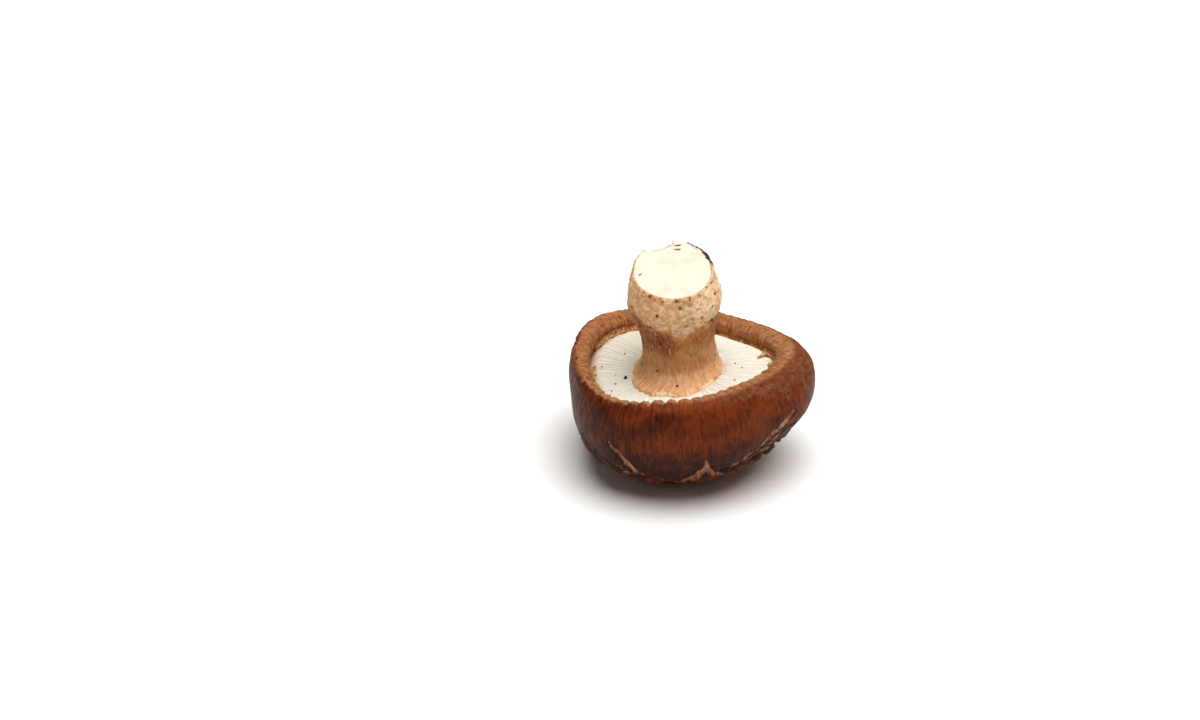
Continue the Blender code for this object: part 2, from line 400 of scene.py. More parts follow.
class Finish:
    """One procedural material, built a node at a time round a Principled shader."""

    def __init__(self, name):
        self.material = bpy.data.materials.new(name)
        self.material.use_nodes = True
        self.nodes = self.material.node_tree.nodes
        self.links = self.material.node_tree.links
        self.shader = self.nodes["Principled BSDF"]
        self.place = self.nodes.new("ShaderNodeTexCoord").outputs["Object"]

    def feed(self, socket, value):
        if isinstance(value, bpy.types.NodeSocket):
            self.links.new(value, socket)
        elif hasattr(value, "__len__") and len(value) == 3 and len(socket.default_value) == 4:
            socket.default_value = (*value, 1.0)
        else:
            socket.default_value = value

    def value(self, name):
        """A per-point value kept on the mesh."""
        node = self.nodes.new("ShaderNodeAttribute")
        node.attribute_name = name
        return node.outputs["Fac"]

    def vector(self, name):
        node = self.nodes.new("ShaderNodeAttribute")
        node.attribute_name = name
        return node.outputs["Vector"]

    def noise(self, place, size, detail=3.0, roughness=0.55, distortion=0.0):
        """Noise from 0 to 1 whose bumps are about one size across."""
        node = self.nodes.new("ShaderNodeTexNoise")
        self.feed(node.inputs["Vector"], place)
        node.inputs["Scale"].default_value = 1.0 / size
        node.inputs["Detail"].default_value = detail
        node.inputs["Roughness"].default_value = roughness
        node.inputs["Distortion"].default_value = distortion
        return node.outputs["Fac"]

    def scaled(self, place, factors):
        """A vector stretched along each axis."""
        node = self.nodes.new("ShaderNodeVectorMath")
        node.operation = "MULTIPLY"
        self.feed(node.inputs[0], place)
        node.inputs[1].default_value = factors
        return node.outputs[0]

    def math(self, operation, first, second=0.0, third=0.0):
        node = self.nodes.new("ShaderNodeMath")
        node.operation = operation
        for socket, value in zip(node.inputs, (first, second, third)):
            self.feed(socket, value)
        return node.outputs[0]

    def between(self, value, low, high, to_low=0.0, to_high=1.0):
        """Eases from one value to another as the input goes from low to high."""
        node = self.nodes.new("ShaderNodeMapRange")
        node.interpolation_type = "SMOOTHSTEP"
        for socket, item in zip(node.inputs, (value, low, high, to_low, to_high)):
            self.feed(socket, item)
        return node.outputs[0]

    def mix(self, share, first, second):
        """Blends two colours."""
        node = self.nodes.new("ShaderNodeMix")
        node.data_type = "RGBA"
        self.feed(node.inputs[0], share)
        self.feed(node.inputs[6], first)
        self.feed(node.inputs[7], second)
        return node.outputs[2]

    def bump(self, height, distance):
        """Adds relief of that real height on top of the relief there is."""
        node = self.nodes.new("ShaderNodeBump")
        node.inputs["Strength"].default_value = 1.0
        node.inputs["Distance"].default_value = distance
        self.feed(node.inputs["Height"], height)
        if self.shader.inputs["Normal"].is_linked:
            self.links.new(self.shader.inputs["Normal"].links[0].from_socket, node.inputs["Normal"])
        self.links.new(node.outputs["Normal"], self.shader.inputs["Normal"])

    def finish(self, colour, roughness, subsurface=0.0, sheen=0.0, specular=0.5):
        self.feed(self.shader.inputs["Base Color"], colour)
        self.feed(self.shader.inputs["Roughness"], roughness)
        self.shader.inputs["Subsurface Weight"].default_value = subsurface
        self.shader.inputs["Subsurface Radius"].default_value = (1.0, 0.6, 0.35)
        self.shader.inputs["Subsurface Scale"].default_value = 1.2 * MM
        self.shader.inputs["Sheen Weight"].default_value = sheen
        self.shader.inputs["Sheen Roughness"].default_value = 0.5
        self.shader.inputs["Specular IOR Level"].default_value = specular
        return self.material


def skin_finish(looks):
    """Cap skin: glossy and streaked on the side, matt and mottled on the rim, pale where cracked. The
    side is lighter towards its right, partly its own tone and partly painted light; painted shade
    darkens its folds, the side towards the crown and the rim's wrinkle troughs.
    """
    made = Finish("cap_skin")
    flow = made.vector("flow")
    streaks = made.noise(flow, 0.65 * MM, 6.0, 0.62)
    drift = made.noise(made.place, 7 * MM, 4.0, 0.6)
    mottle = made.noise(made.place, 1.1 * MM, 6.0, 0.7)
    blotch = made.noise(made.place, 4 * MM, 4.0, 0.6)
    # Partly the side's own warmer tone, partly painted light: the streaks are lifted towards the lit
    # right-hand side, which also spreads the brightest streaks there.
    streaks_and_light = made.math("ADD", streaks, made.math("MULTIPLY", made.value("right_tone_and_light"), 0.16))
    side = made.mix(made.between(streaks_and_light, 0.34, 0.72), looks.side_dark, looks.side_warm)
    glow = made.noise(flow, 0.5 * MM, 5.0, 0.7)
    glow = made.math("MULTIPLY", made.between(glow, 0.50, 0.72), made.between(streaks_and_light, 0.50, 0.70))
    side = made.mix(made.math("MULTIPLY", glow, 0.55), side, looks.side_glow)
    side = made.mix(made.between(drift, 0.42, 0.68, 0.0, 0.6), side, looks.side_dark)
    # Painted shade: darker in the troughs of the folds and towards the crown.
    side = made.mix(made.between(made.value("painted_shade"), 0.05, 0.75, 0.0, 0.8), side, looks.side_dark)
    plate = made.mix(made.between(blotch, 0.36, 0.62), looks.side_warm, looks.rim_dark)
    plate = made.mix(made.between(mottle, 0.46, 0.70, 0.0, 0.7), plate, looks.rim_pale)
    side = made.mix(made.math("MULTIPLY", made.value("plate"), 0.85), side, plate)
    rim = made.mix(made.between(mottle, 0.36, 0.66), looks.rim_dark, looks.rim_pale)
    rim = made.mix(made.between(blotch, 0.48, 0.66, 0.0, 0.65), rim, looks.rim_dark)
    # Painted shade: the rim's wrinkle troughs take the darker side colour.
    rim = made.mix(made.between(made.value("relief"), 0.0, -0.45, 0.0, 0.8), rim, looks.side_warm)
    # The rim is made darker towards the right-hand side.
    rim = made.mix(made.math("MULTIPLY", made.value("right_tone_and_light"), 0.45), rim, looks.rim_dark)
    dry = made.noise(flow, 0.35 * MM, 4.0, 0.7)
    rim = made.mix(made.between(dry, 0.60, 0.72, 0.0, 0.45), rim, looks.lip_colour)
    worn = made.math("ADD", made.value("rim"), made.between(streaks, 0.3, 0.7, -0.35, 0.35))
    colour = made.mix(made.between(worn, 0.30, 0.70), side, rim)
    fringe = made.noise(flow, 0.5 * MM, 4.0, 0.7)
    lip = made.math("MULTIPLY", made.value("lip"), made.between(fringe, 0.36, 0.62, 0.15, 1.0))
    colour = made.mix(lip, colour, looks.lip_colour)
    veins = made.noise(flow, 0.8 * MM, 5.0, 0.7)
    flesh = made.mix(made.between(veins, 0.34, 0.66), looks.crack_dark, looks.crack_pale)
    torn = made.math("ADD", made.value("crack"), made.between(mottle, 0.3, 0.7, -0.12, 0.12))
    colour = made.mix(made.between(torn, 0.18, 0.85), colour, flesh)
    roughness = made.mix(made.value("rim"), (0.42, 0.42, 0.42), (0.75, 0.75, 0.75))
    roughness = made.mix(made.between(mottle, 0.35, 0.75, 0.0, 0.6), roughness, (0.62, 0.62, 0.62))
    made.bump(streaks, 0.07 * MM)
    made.bump(mottle, 0.22 * MM)
    return made.finish(colour, roughness, sheen=0.03, specular=0.16)


def gill_finish(looks):
    """Gill flesh: cream at the free edges, with tan painted shade down between them."""
    made = Finish("gill_cream")
    along = made.noise(made.place, 3.5 * MM, 4.0, 0.6)
    patchy = made.between(along, 0.46, 0.72, 0.0, 0.45)
    edge = made.mix(patchy, looks.edge_colour, looks.warm_colour)
    tint = made.between(made.value("blade"), 0.72, 1.0, 0.0, 0.35)
    edge = made.mix(tint, edge, looks.warm_colour)
    # Painted shade: the gills grow tan towards their roots and on the flesh between them.
    colour = made.mix(made.between(made.value("depth"), 0.92, 0.05), edge, looks.painted_root_shade)
    stained = made.math("MULTIPLY", made.value("stain"), made.between(along, 0.34, 0.62))
    colour = made.mix(stained, colour, looks.stain_colour)
    made.bump(made.noise(made.place, 0.35 * MM, 3.0), 0.05 * MM)
    return made.finish(colour, 0.62, subsurface=0.60, sheen=0.05, specular=0.3)


def stem_finish(looks):
    """Stem: a smooth cream cut, a cottony coat, brown fibrous skin at the waist and a tan foot."""
    made = Finish("stem_tan")
    flow = made.vector("flow")
    fibres = made.noise(flow, 0.45 * MM, 5.0, 0.68)
    short = made.noise(made.scaled(flow, (1.0, 1.0, 2.4)), 0.42 * MM, 3.0, 0.6)
    fine = made.noise(made.place, 0.6 * MM, 6.0, 0.72)
    broad = made.noise(made.place, 4.0 * MM, 4.0, 0.6)
    skin = made.mix(made.between(broad, 0.36, 0.64), looks.skin_warm, looks.skin_pale)
    skin = made.mix(made.between(fine, 0.42, 0.66, 0.0, 0.75), skin, looks.skin_warm)
    bare = made.between(made.value("peeled"), 0.15, 0.85, 0.0, 0.85)
    skin = made.mix(bare, skin, looks.skin_dark)
    skin = made.mix(made.between(short, 0.54, 0.66, 0.0, 0.55), skin, looks.fleck_colour)
    foot = made.mix(made.between(fibres, 0.32, 0.66), looks.foot_dark, looks.foot_pale)
    foot = made.mix(made.between(fine, 0.48, 0.68, 0.0, 0.45), foot, looks.foot_dark)
    skin = made.mix(made.value("foot"), skin, foot)
    hem = made.math("ADD", made.value("hem"), made.between(fine, 0.3, 0.7, -0.3, 0.3))
    hem = made.math("MULTIPLY", hem, made.between(broad, 0.45, 0.62))
    skin = made.mix(made.between(hem, 0.4, 0.9), skin, looks.coat_pale)
    patches = made.noise(made.place, 1.9 * MM, 6.0, 0.75, 0.6)
    shaded = made.math("ADD", patches, made.math("MULTIPLY", made.value("shade"), 0.10))
    coat = made.mix(made.between(shaded, 0.44, 0.66), looks.coat_pale, looks.coat_tan)
    coat = made.mix(made.between(fine, 0.52, 0.68, 0.0, 0.80), coat, looks.skin_pale)
    freckles = made.between(made.math("MULTIPLY", patches, fine), 0.30, 0.42, 0.0, 0.45)
    coat = made.mix(freckles, coat, looks.skin_warm)
    # Painted shade: the hollows of the cottony coat are darkened to the warm skin colour.
    hollow_shade = made.between(made.value("relief"), -0.04, -0.36, 0.0, 0.65)
    coat = made.mix(hollow_shade, coat, looks.skin_warm)
    ragged = made.math("ADD", made.value("coat"), made.between(fine, 0.3, 0.7, -0.30, 0.30))
    ragged = made.math("ADD", ragged, made.between(broad, 0.3, 0.7, -0.20, 0.20))
    colour = made.mix(made.between(ragged, 0.15, 0.85), skin, coat)
    stain = made.math("ADD", made.value("stain"), made.between(fine, 0.3, 0.7, -0.25, 0.25))
    colour = made.mix(made.between(stain, 0.35, 0.80), colour, looks.stain_colour)
    lines = made.noise(made.scaled(made.place, (0.30, 1.3, 1.0)), 0.75 * MM, 4.0, 0.65, 0.8)
    cloudy = made.between(made.noise(made.place, 5 * MM, 3.0), 0.46, 0.70, 0.0, 0.40)
    cut = made.mix(cloudy, looks.cut_colour, looks.cut_warm)
    cut = made.mix(made.between(lines, 0.52, 0.70, 0.0, 0.35), cut, looks.cut_warm)
    colour = made.mix(made.between(made.value("cut"), 0.35, 0.75), colour, cut)
    torn = made.math("ADD", made.value("tear"), made.between(fine, 0.3, 0.7, -0.25, 0.25))
    colour = made.mix(made.between(torn, 0.30, 0.70), colour, looks.tear_colour)
    coarse = made.between(made.value("cut"), 0.3, 0.8, 1.0, 0.10)
    made.bump(made.math("MULTIPLY", fibres, coarse), 0.16 * MM)
    made.bump(made.math("MULTIPLY", fine, coarse), 0.26 * MM)
    on_cut = made.between(made.value("cut"), 0.3, 0.8, 0.0, 1.0)
    made.bump(made.math("MULTIPLY", lines, on_cut), 0.08 * MM)
    return made.finish(colour, 0.76, subsurface=0.10, sheen=0.06, specular=0.25)


def plain_flesh_finish(name, dark, pale, size, roughness=0.8):
    """Two mottled tones with a little relief, for fibrils, shreds and specks."""
    made = Finish(name)
    mottle = made.noise(made.place, size, 4.0, 0.65)
    colour = made.mix(made.between(mottle, 0.35, 0.65), dark, pale)
    made.bump(mottle, 0.10 * MM)
    return made.finish(colour, roughness, specular=0.2)


# ---------------------------------------------------------------- cap

def cap_outline():
    """Floor, undercut, rolled rim and crown, from near the axis out, over the rim and back."""
    floor_radius = OPENING_RADIUS + LIP_UNDERCUT
    lip_height = CAP_DEPTH - LIP_DROP
    inside = np.array([
        (0.004, GILL_ROOT_HEIGHT),
        (OPENING_RADIUS, GILL_ROOT_HEIGHT),
        (floor_radius, GILL_ROOT_HEIGHT + LIP_UNDERCUT),
        (floor_radius, (GILL_ROOT_HEIGHT + lip_height) / 2),
    ])
    lip = arc((CREST_RADIUS, lip_height), (CREST_RADIUS - OPENING_RADIUS, LIP_DROP), 180, 90, 24)
    rim_reach = (CAP_RADIUS - CREST_RADIUS, CAP_DEPTH - GIRTH_HEIGHT)
    rim = arc((CREST_RADIUS, GIRTH_HEIGHT), rim_reach, 90, 0, 40)[1:]
    crown = arc((0.0, GIRTH_HEIGHT), (CAP_RADIUS, GIRTH_HEIGHT), 0, -89.5, 120)[1:]
    return np.concatenate([inside, lip, rim, crown])


# Places where the skin has split, as runs of bearing, polar angle from the crown and half width in mm.
SPLITS = (
    ((-128, 89, 0.4), (-125, 82, 1.0), (-121, 72, 1.1), (-117, 62, 0.9), (-112, 55, 0.4)),
    ((-80, 74, 0.8), (-81, 64, 1.6), (-86, 55, 1.9), (-93, 49, 1.0)),
    ((-81, 66, 1.4), (-75, 56, 1.8), (-69, 50, 1.0)),
    ((-66, 60, 0.9), (-60, 65, 1.9), (-54, 68, 1.0)),
    ((-50, 70, 1.2), (-43, 76, 1.9), (-36, 82, 1.7), (-29, 88, 0.8)),
    ((-46, 64, 0.8), (-36, 72, 1.4), (-26, 78, 0.7)),
    ((-150, 84, 0.4), (-146, 74, 0.8), (-143, 62, 0.5)),
    ((40, 82, 0.5), (46, 70, 1.2), (55, 60, 0.6)),
    ((112, 86, 0.4), (108, 72, 1.0), (110, 60, 0.6)),
    ((165, 80, 0.5), (172, 68, 1.2), (168, 56, 0.7)),
)


def split_depth(angle, polar):
    """1 along the middle of each split in the skin, falling to 0 at its edges."""
    found = np.zeros(angle.shape)
    across = CAP_RADIUS * np.sin(polar)
    for points in SPLITS:
        for first, last in zip(points, points[1:]):
            start, end = np.radians(first[:2]), np.radians(last[:2])
            step_x = (end[0] - start[0]) * across
            step_y = (end[1] - start[1]) * CAP_RADIUS
            x, y = turn_from(angle, start[0]) * across, (polar - start[1]) * CAP_RADIUS
            share = np.clip((x * step_x + y * step_y) / (step_x**2 + step_y**2 + 1e-12), 0.0, 1.0)
            distance = np.hypot(x - share * step_x, y - share * step_y)
            width = (first[2] + share * (last[2] - first[2])) * MM
            found = np.maximum(found, 1.0 - smoothstep(0.35, 1.0, distance / width))
    return found


def cap_surface(looks):
    """The cap's grid of points and the values its skin reads."""
    outline = resampled(cap_outline(), CAP_ROWS)
    radius, height = outline[:, :1], outline[:, 1:]
    angle = np.arange(CAP_COLUMNS) / CAP_COLUMNS * math.tau
    angle = np.broadcast_to(angle, (len(outline), CAP_COLUMNS))
    base = grown(turned(radius, angle, height))
    normal = grid_normals(base, -1)
    polar = np.arctan2(radius / CAP_RADIUS, (GIRTH_HEIGHT - height) / GIRTH_HEIGHT) + 0 * angle
    degrees = np.degrees(polar)
    row = np.arange(len(outline))[:, None] + 0 * angle
    crest_row = int(np.argmax(outline[:, 1]))
    outside = row >= crest_row
    along = np.concatenate([[0.0], np.cumsum(np.linalg.norm(np.diff(outline, axis=0), axis=1))])
    along = (along - along[crest_row])[:, None] + 0 * angle
    shown = smoothstep(18, 21, row.astype(float))

    flow = turned(CAP_RADIUS, angle, along * 0.14)
    warp = np.stack([fractal(base, 5 * MM, 2, seed) for seed in (11, 12, 13)], -1) * 1.3 * MM
    flow = flow + warp * 0.5
    near_pole = smoothstep(18.0, 42.0, degrees)

    rim_from = around(RIM_FROM_DEGREES, angle) + 8.0 * fractal(base, 4 * MM, 3, 21)
    rim = np.where(outside, smoothstep(rim_from - 4.0, rim_from + 5.0, degrees), 1.0)
    crown = smoothstep(80.0, 56.0, degrees + 8.0 * noise(base, 9 * MM, 22))

    lumps = 0.55 * noise(base, 13 * MM, 31) + 0.30 * noise(base, 6 * MM, 32)
    curved = base + warp
    curved[..., :2] += 1.6 * MM * noises(base, 9 * MM, (24, 25))
    wrinkled = folds(curved * (1.0, 1.0, 1.5), 3.0 * MM, 33) - 0.55
    fine = folds(base + warp, 1.1 * MM, 36) - 0.55
    pimples = noise(base, 0.8 * MM, 38)
    streaked = fractal(flow, 1.3 * MM, 3, 39)
    slow_streaks = noise(flow, 3.4 * MM, 43)

    nearest, second = cells((base + 1.6 * warp) * (1.0, 1.0, 1.25), 7.0 * MM, 51)
    gap = second - nearest
    opened = smoothstep(-0.25, 0.35, noise(base, 12 * MM, 53))
    hidden = smoothstep(60, 42, degrees) * outside
    crackle = smoothstep(0.20 + 0.10 * hidden, 0.03, gap) * crown
    crackle = crackle * np.maximum(opened, 0.85 * hidden)
    wander = 0.06 * noise(base, 4 * MM, 54) + 0.015 * noise(base, 1.5 * MM, 56)
    stray = 0.05 * noise(base, 3 * MM, 55) + 0.012 * noise(base, 1.3 * MM, 58)
    split = split_depth(angle + wander, polar + stray)
    crack = np.clip(np.maximum(crackle, split) * outside, 0.0, 1.0)
    plates = smoothstep(0.02, 0.5, gap) * crown
    lifted = smoothstep(0.5, 0.15, gap) * crown * opened * (1 - crack)
    puckered = folds(base + 1.5 * warp, 3.4 * MM, 57) - 0.5
    # Painted shade in the troughs of the puckered folds near the crown.
    painted_shade = smoothstep(0.35, -0.35, puckered) * smoothstep(88, 66, degrees) * outside
    deep_crack = crack * (1 + 0.9 * smoothstep(0.35, 0.1, bearing_gap(angle, -79)))

    relief = (
        lumps
        + rim * (looks.wrinkle_depth / MM) * (1.1 * wrinkled + 0.45 * fine + 0.3 * pimples)
        + (1 - rim) * near_pole * (0.07 * streaked + 0.10 * slow_streaks + 0.05 * fine)
        + crown * (0.55 * puckered + 0.18 * fine)
        + 0.35 * plates + 0.18 * lifted
        + 0.22 * np.clip(4 * split * (1 - split), 0, 1) * (1 + noise(base, 1.6 * MM, 59))
        - (looks.crack_depth / MM) * deep_crack
    )
    relief = relief * np.where(outside, 1.0, smoothstep(0.0, 1.0, 1.0 + along / (9 * MM))) * shown
    spread = base + normal * (relief * MM)[..., None]

    flaps_here = smoothstep(0.95, 0.45, bearing_gap(angle, -126))
    flap = np.abs(np.sin(angle * 25 + 1.8 * noise(base, 7 * MM, 61))) ** 0.7 - 0.55
    ragged = 0.35 * fractal(base, 1.5 * MM, 2, 62) * (0.4 + 0.6 * flaps_here) + flaps_here * flap
    crest = np.exp(-((along + 1.0 * MM) / (1.5 * MM)) ** 2)
    inner_edge = np.exp(-((along + 2.8 * MM) / (1.3 * MM)) ** 2)
    spread[..., 2] += looks.lip_raggedness * crest * ragged
    inward = -turned(1.0, angle, 0.0)
    curl = looks.lip_raggedness * inner_edge * (0.6 * flap + ragged)
    spread = spread + inward * curl[..., None]

    settled = rested(spread)
    height = settled[..., 2]
    pressed = (height + np.sqrt(height**2 + (0.25 * MM) ** 2)) / 2
    settled[..., 2] = np.where(height < 0.004, pressed, height)

    # Right-hand side of the cap: the glossy side is lighter there, partly its own tone and partly
    # painted light, and the rim is darker.
    right_tone_and_light = smoothstep(1.9, 0.6, bearing_gap(angle, -45)) * smoothstep(55, 95, degrees)
    lip = np.where(outside, smoothstep(1.2 * MM, 0.0, along) * (1 - 0.8 * flaps_here), 1.0)
    # Painted shade, darker towards the crown where the cap meets the floor.
    low_shade = 0.55 * smoothstep(104, 64, degrees) * (1 - hidden)
    values = {
        "flow": flow, "rim": rim, "crack": crack, "lip": lip * 0.75, "right_tone_and_light": right_tone_and_light * shown,
        "relief": wrinkled * rim + 0.6 * fine * rim, "plate": hidden,
        "painted_shade": painted_shade * (1 - 0.5 * hidden) + low_shade,
        "fuzz": rim * outside * smoothstep(0.3, 0.7, rim) + 0.15 * split * outside,
    }
    return settled, values


# ---------------------------------------------------------------- gills

def gill_bed_grid():
    """The flesh between the gills: one closed ring whose top lies just below their free edges."""
    inner, outer = BED_INNER_RADIUS, GILL_OUTER_RADIUS
    top = np.linspace(inner, outer, BED_ROWS)
    below = 0.24 * MM
    bottom = GILL_ROOT_HEIGHT + 0.3 * MM
    outline = np.concatenate([
        np.stack([top, gill_edge_height(top) - below], 1),
        [(outer, GILL_ROOT_HEIGHT + 2 * MM), (OPENING_RADIUS - 0.3 * MM, bottom),
         (inner, bottom), (inner, gill_edge_height(inner) - below)],
    ])
    angle = np.arange(BED_COLUMNS) / BED_COLUMNS * math.tau
    angle = np.broadcast_to(angle, (len(outline), BED_COLUMNS))
    radius, height = outline[:, :1], outline[:, 1:]
    return rested(grown(turned(radius, angle, height)))


class Tree:
    """One Geometry Nodes tree, built a node at a time."""

    def __init__(self, name, inputs):
        self.tree = bpy.data.node_groups.new(name, "GeometryNodeTree")
        face = self.tree.interface
        face.new_socket("Geometry", in_out="INPUT", socket_type="NodeSocketGeometry")
        face.new_socket("Geometry", in_out="OUTPUT", socket_type="NodeSocketGeometry")
        self.names = {}
        for label, kind in inputs:
            socket = face.new_socket(label, in_out="INPUT", socket_type="NodeSocket" + kind)
            self.names[label] = socket.identifier
        self.start = self.tree.nodes.new("NodeGroupInput")
        self.end = self.tree.nodes.new("NodeGroupOutput")

    def given(self, label):
        return self.start.outputs[label]

    def feed(self, socket, value):
        if isinstance(value, bpy.types.NodeSocket):
            self.tree.links.new(value, socket)
        else:
            socket.default_value = value

    def node(self, kind, settings=None, **sockets):
        """Adds a node; its sockets go by lower-case name with _ for a space, or by index as i0, i1."""
        node = self.tree.nodes.new(kind)
        for name, value in (settings or {}).items():
            setattr(node, name, value)
        usable = [socket for socket in node.inputs if socket.enabled]
        for name, value in sockets.items():
            if name[0] == "i" and name[1:].isdigit():
                socket = usable[int(name[1:])]
            else:
                socket = next(s for s in usable if s.name.lower().replace(" ", "_") == name)
            self.feed(socket, value)
        return node

    def out(self, node, index=0):
        return [socket for socket in node.outputs if socket.enabled][index]

    def math(self, operation, *values):
        sockets = {f"i{i}": value for i, value in enumerate(values)}
        return self.out(self.node("ShaderNodeMath", {"operation": operation}, **sockets))

    def combine(self, x=0.0, y=0.0, z=0.0):
        return self.out(self.node("ShaderNodeCombineXYZ", x=x, y=y, z=z))

    def stored(self, name, kind="FLOAT"):
        """A value kept on the geometry."""
        return self.out(self.node("GeometryNodeInputNamedAttribute", {"data_type": kind}, name=name))

    def random(self, low, high, seed_step):
        """A random number for each point or instance, from the tree's seed."""
        seed = self.math("ADD", self.given("Seed"), float(seed_step))
        settings = {"data_type": "FLOAT"}
        return self.out(self.node("FunctionNodeRandomValue", settings, min=low, max=high, seed=seed))

    def close(self, geometry):
        """Ends the tree: instances become real and take the material."""
        real = self.out(self.node("GeometryNodeRealizeInstances", geometry=geometry))
        material = self.given("Material")
        painted = self.node("GeometryNodeSetMaterial", geometry=real, material=material)
        self.tree.links.new(self.out(painted), self.end.inputs[0])


def grown_by(tree, values, base_mesh=None):
    """The plain mesh that a tree makes from its inputs, set by each socket's identifier."""
    source = linked(tree.tree.name, base_mesh or bpy.data.meshes.new(tree.tree.name))
    modifier = source.modifiers.new("nodes", "NODES")
    modifier.node_group = tree.tree
    for label, value in values.items():
        modifier[tree.names[label]] = value
    mesh = plain_mesh_of(source)
    if not len(mesh.polygons):
        raise RuntimeError(f"{tree.tree.name} made nothing")
    return mesh


def gill_tree():
    """Thin upright blades on a circle, their outer ends on it, long and short ones by turns."""
    tree = Tree("gill_ring", (
        ("Blades", "Int"), ("Circle Radius", "Float"), ("Blade Length", "Float"),
        ("Blade Thickness", "Float"), ("Seed", "Int"), ("Material", "Material"),
    ))
    index = tree.out(tree.node("GeometryNodeInputIndex"))
    jittered = tree.math("ADD", index, tree.random(-0.28, 0.28, 1))
    turn = tree.math("MULTIPLY", tree.math("DIVIDE", jittered, tree.given("Blades")), math.tau)
    radius = tree.given("Circle Radius")
    spot = tree.combine(tree.math("MULTIPLY", tree.math("COSINE", turn), radius),
                        tree.math("MULTIPLY", tree.math("SINE", turn), radius))
    points = tree.out(tree.node("GeometryNodePoints", count=tree.given("Blades"), position=spot))
    size = tree.combine(tree.given("Blade Length"), tree.given("Blade Thickness"), 1.0)
    slab = tree.out(tree.node("GeometryNodeMeshCube", size=size,
                              vertices_x=13, vertices_y=2, vertices_z=2))
    inward = tree.combine(tree.math("MULTIPLY", tree.given("Blade Length"), -0.5), 0.0, 0.5)
    slab = tree.out(tree.node("GeometryNodeTransform", geometry=slab, translation=inward))
    place = tree.out(tree.node("GeometryNodeInputPosition"))
    split = tree.node("ShaderNodeSeparateXYZ", vector=place)
    thin = tree.math("SUBTRACT", 1.0, tree.math("MULTIPLY", split.outputs[2], 0.30))
    tapered = tree.combine(split.outputs[0], tree.math("MULTIPLY", split.outputs[1], thin),
                           split.outputs[2])
    slab = tree.out(tree.node("GeometryNodeSetPosition", geometry=slab, position=tapered))
    odd = tree.math("MODULO", index, 2.0)
    quarter = tree.math("COMPARE", tree.math("MODULO", index, 4.0), 1.0, 0.1)
    short = tree.math("SUBTRACT", tree.random(0.50, 0.74, 2),
                      tree.math("MULTIPLY", quarter, tree.random(0.14, 0.30, 3)))
    length = tree.math("ADD", tree.math("SUBTRACT", 1.0, odd), tree.math("MULTIPLY", odd, short))
    placed = tree.node("GeometryNodeInstanceOnPoints", points=points, instance=slab,
                       rotation=tree.combine(0.0, 0.0, turn), scale=tree.combine(length, 1.0, 1.0))
    on_instances = {"data_type": "FLOAT", "domain": "INSTANCE"}
    for name, value in (("blade", tree.random(0.0, 1.0, 5)), ("short", odd)):
        placed = tree.node("GeometryNodeStoreNamedAttribute", on_instances,
                           geometry=tree.out(placed), name=name, value=value)
    tree.close(tree.out(placed))
    return tree


def mesh_points(mesh):
    flat = np.empty(len(mesh.vertices) * 3, np.float32)
    mesh.vertices.foreach_get("co", flat)
    return flat.reshape(-1, 3).astype(float)


def set_mesh_points(mesh, points):
    mesh.vertices.foreach_set("co", points.astype(np.float32).ravel())
    mesh.update()


def mesh_values(mesh, name):
    flat = np.empty(len(mesh.vertices), np.float32)
    mesh.attributes[name].data.foreach_get("value", flat)
    return flat.astype(float)


def stand_gills(mesh, looks):
    """Takes upright unit-high blades to the flesh they stand on; their free edges waver."""
    points = mesh_points(mesh)
    share = points[:, 2]
    blade, short = mesh_values(mesh, "blade"), mesh_values(mesh, "short")
    radius = np.hypot(points[:, 0], points[:, 1])
    angle = np.arctan2(points[:, 1], points[:, 0])
    tag = np.stack([radius, blade * 40.0, 0 * radius], 1)
    inner_end = smoothstep(9.0 * MM, 12.0 * MM, radius)
    waver = noise(tag, 3 * MM, 71) + 1.2 * (blade - 0.5)
    top = gill_edge_height(radius) + looks.edge_waver * waver - 0.35 * MM * short
    root = gill_edge_height(radius) - 1.8 * MM
    height = root + share * (top - root)
    sway = 0.22 * noise(tag, 5 * MM, 73) + 0.10 * noise(tag, 1.6 * MM, 74)
    angle = angle + sway * MM * share * inner_end / np.maximum(radius, 1 * MM)
    set_mesh_points(mesh, rested(grown(turned(radius, angle, height))))
    near_lip = smoothstep(OPENING_RADIUS - 2.4 * MM, OPENING_RADIUS + 0.6 * MM, radius)
    near_foot = smoothstep(STEM_FOOT_RADIUS + 2.6 * MM, STEM_FOOT_RADIUS - 0.5 * MM, radius)
    keep_values(mesh, {"depth": share, "stain": np.clip(near_lip * 0.8 + near_foot * 0.4, 0, 1)})


# ---------------------------------------------------------------- stem

def stem_radius(share, angle):
    """Radius at a share of the stem's length above the gills: flared foot, waist, bulge, cut end."""
    reach = around(FOOT_REACH, angle)
    flare = np.clip(1.0 - share / STEM_WAIST_AT, 0.0, 1.2) ** 4.0
    waist = STEM_WAIST_RADIUS - 0.2 * MM
    low = waist + (reach - waist) * flare
    swell = smoothstep(STEM_WAIST_AT + 0.06, STEM_BULGE_AT, share)
    middle = waist + (STEM_BULGE_RADIUS - waist) * swell
    taper = smoothstep(STEM_BULGE_AT, 1.15, share)
    high = STEM_BULGE_RADIUS + (STEM_END_RADIUS - 1.2 * MM - STEM_BULGE_RADIUS) * taper
    radius = np.where(share < STEM_WAIST_AT, low, np.where(share < STEM_BULGE_AT, middle, high))
    uneven = 0.02 * np.cos(2 * angle + 0.5) + 0.015 * np.cos(3 * angle + 1.9)
    return radius * (1.0 + smoothstep(0.0, 0.7, share) * uneven)


def cut_plane():
    """A point on the cut, and its normal, in the upright mushroom."""
    return np.array([0.0, 0.0, GILL_TOP + STEM_LENGTH]), TURN.T @ CUT_TILT[:, 2]


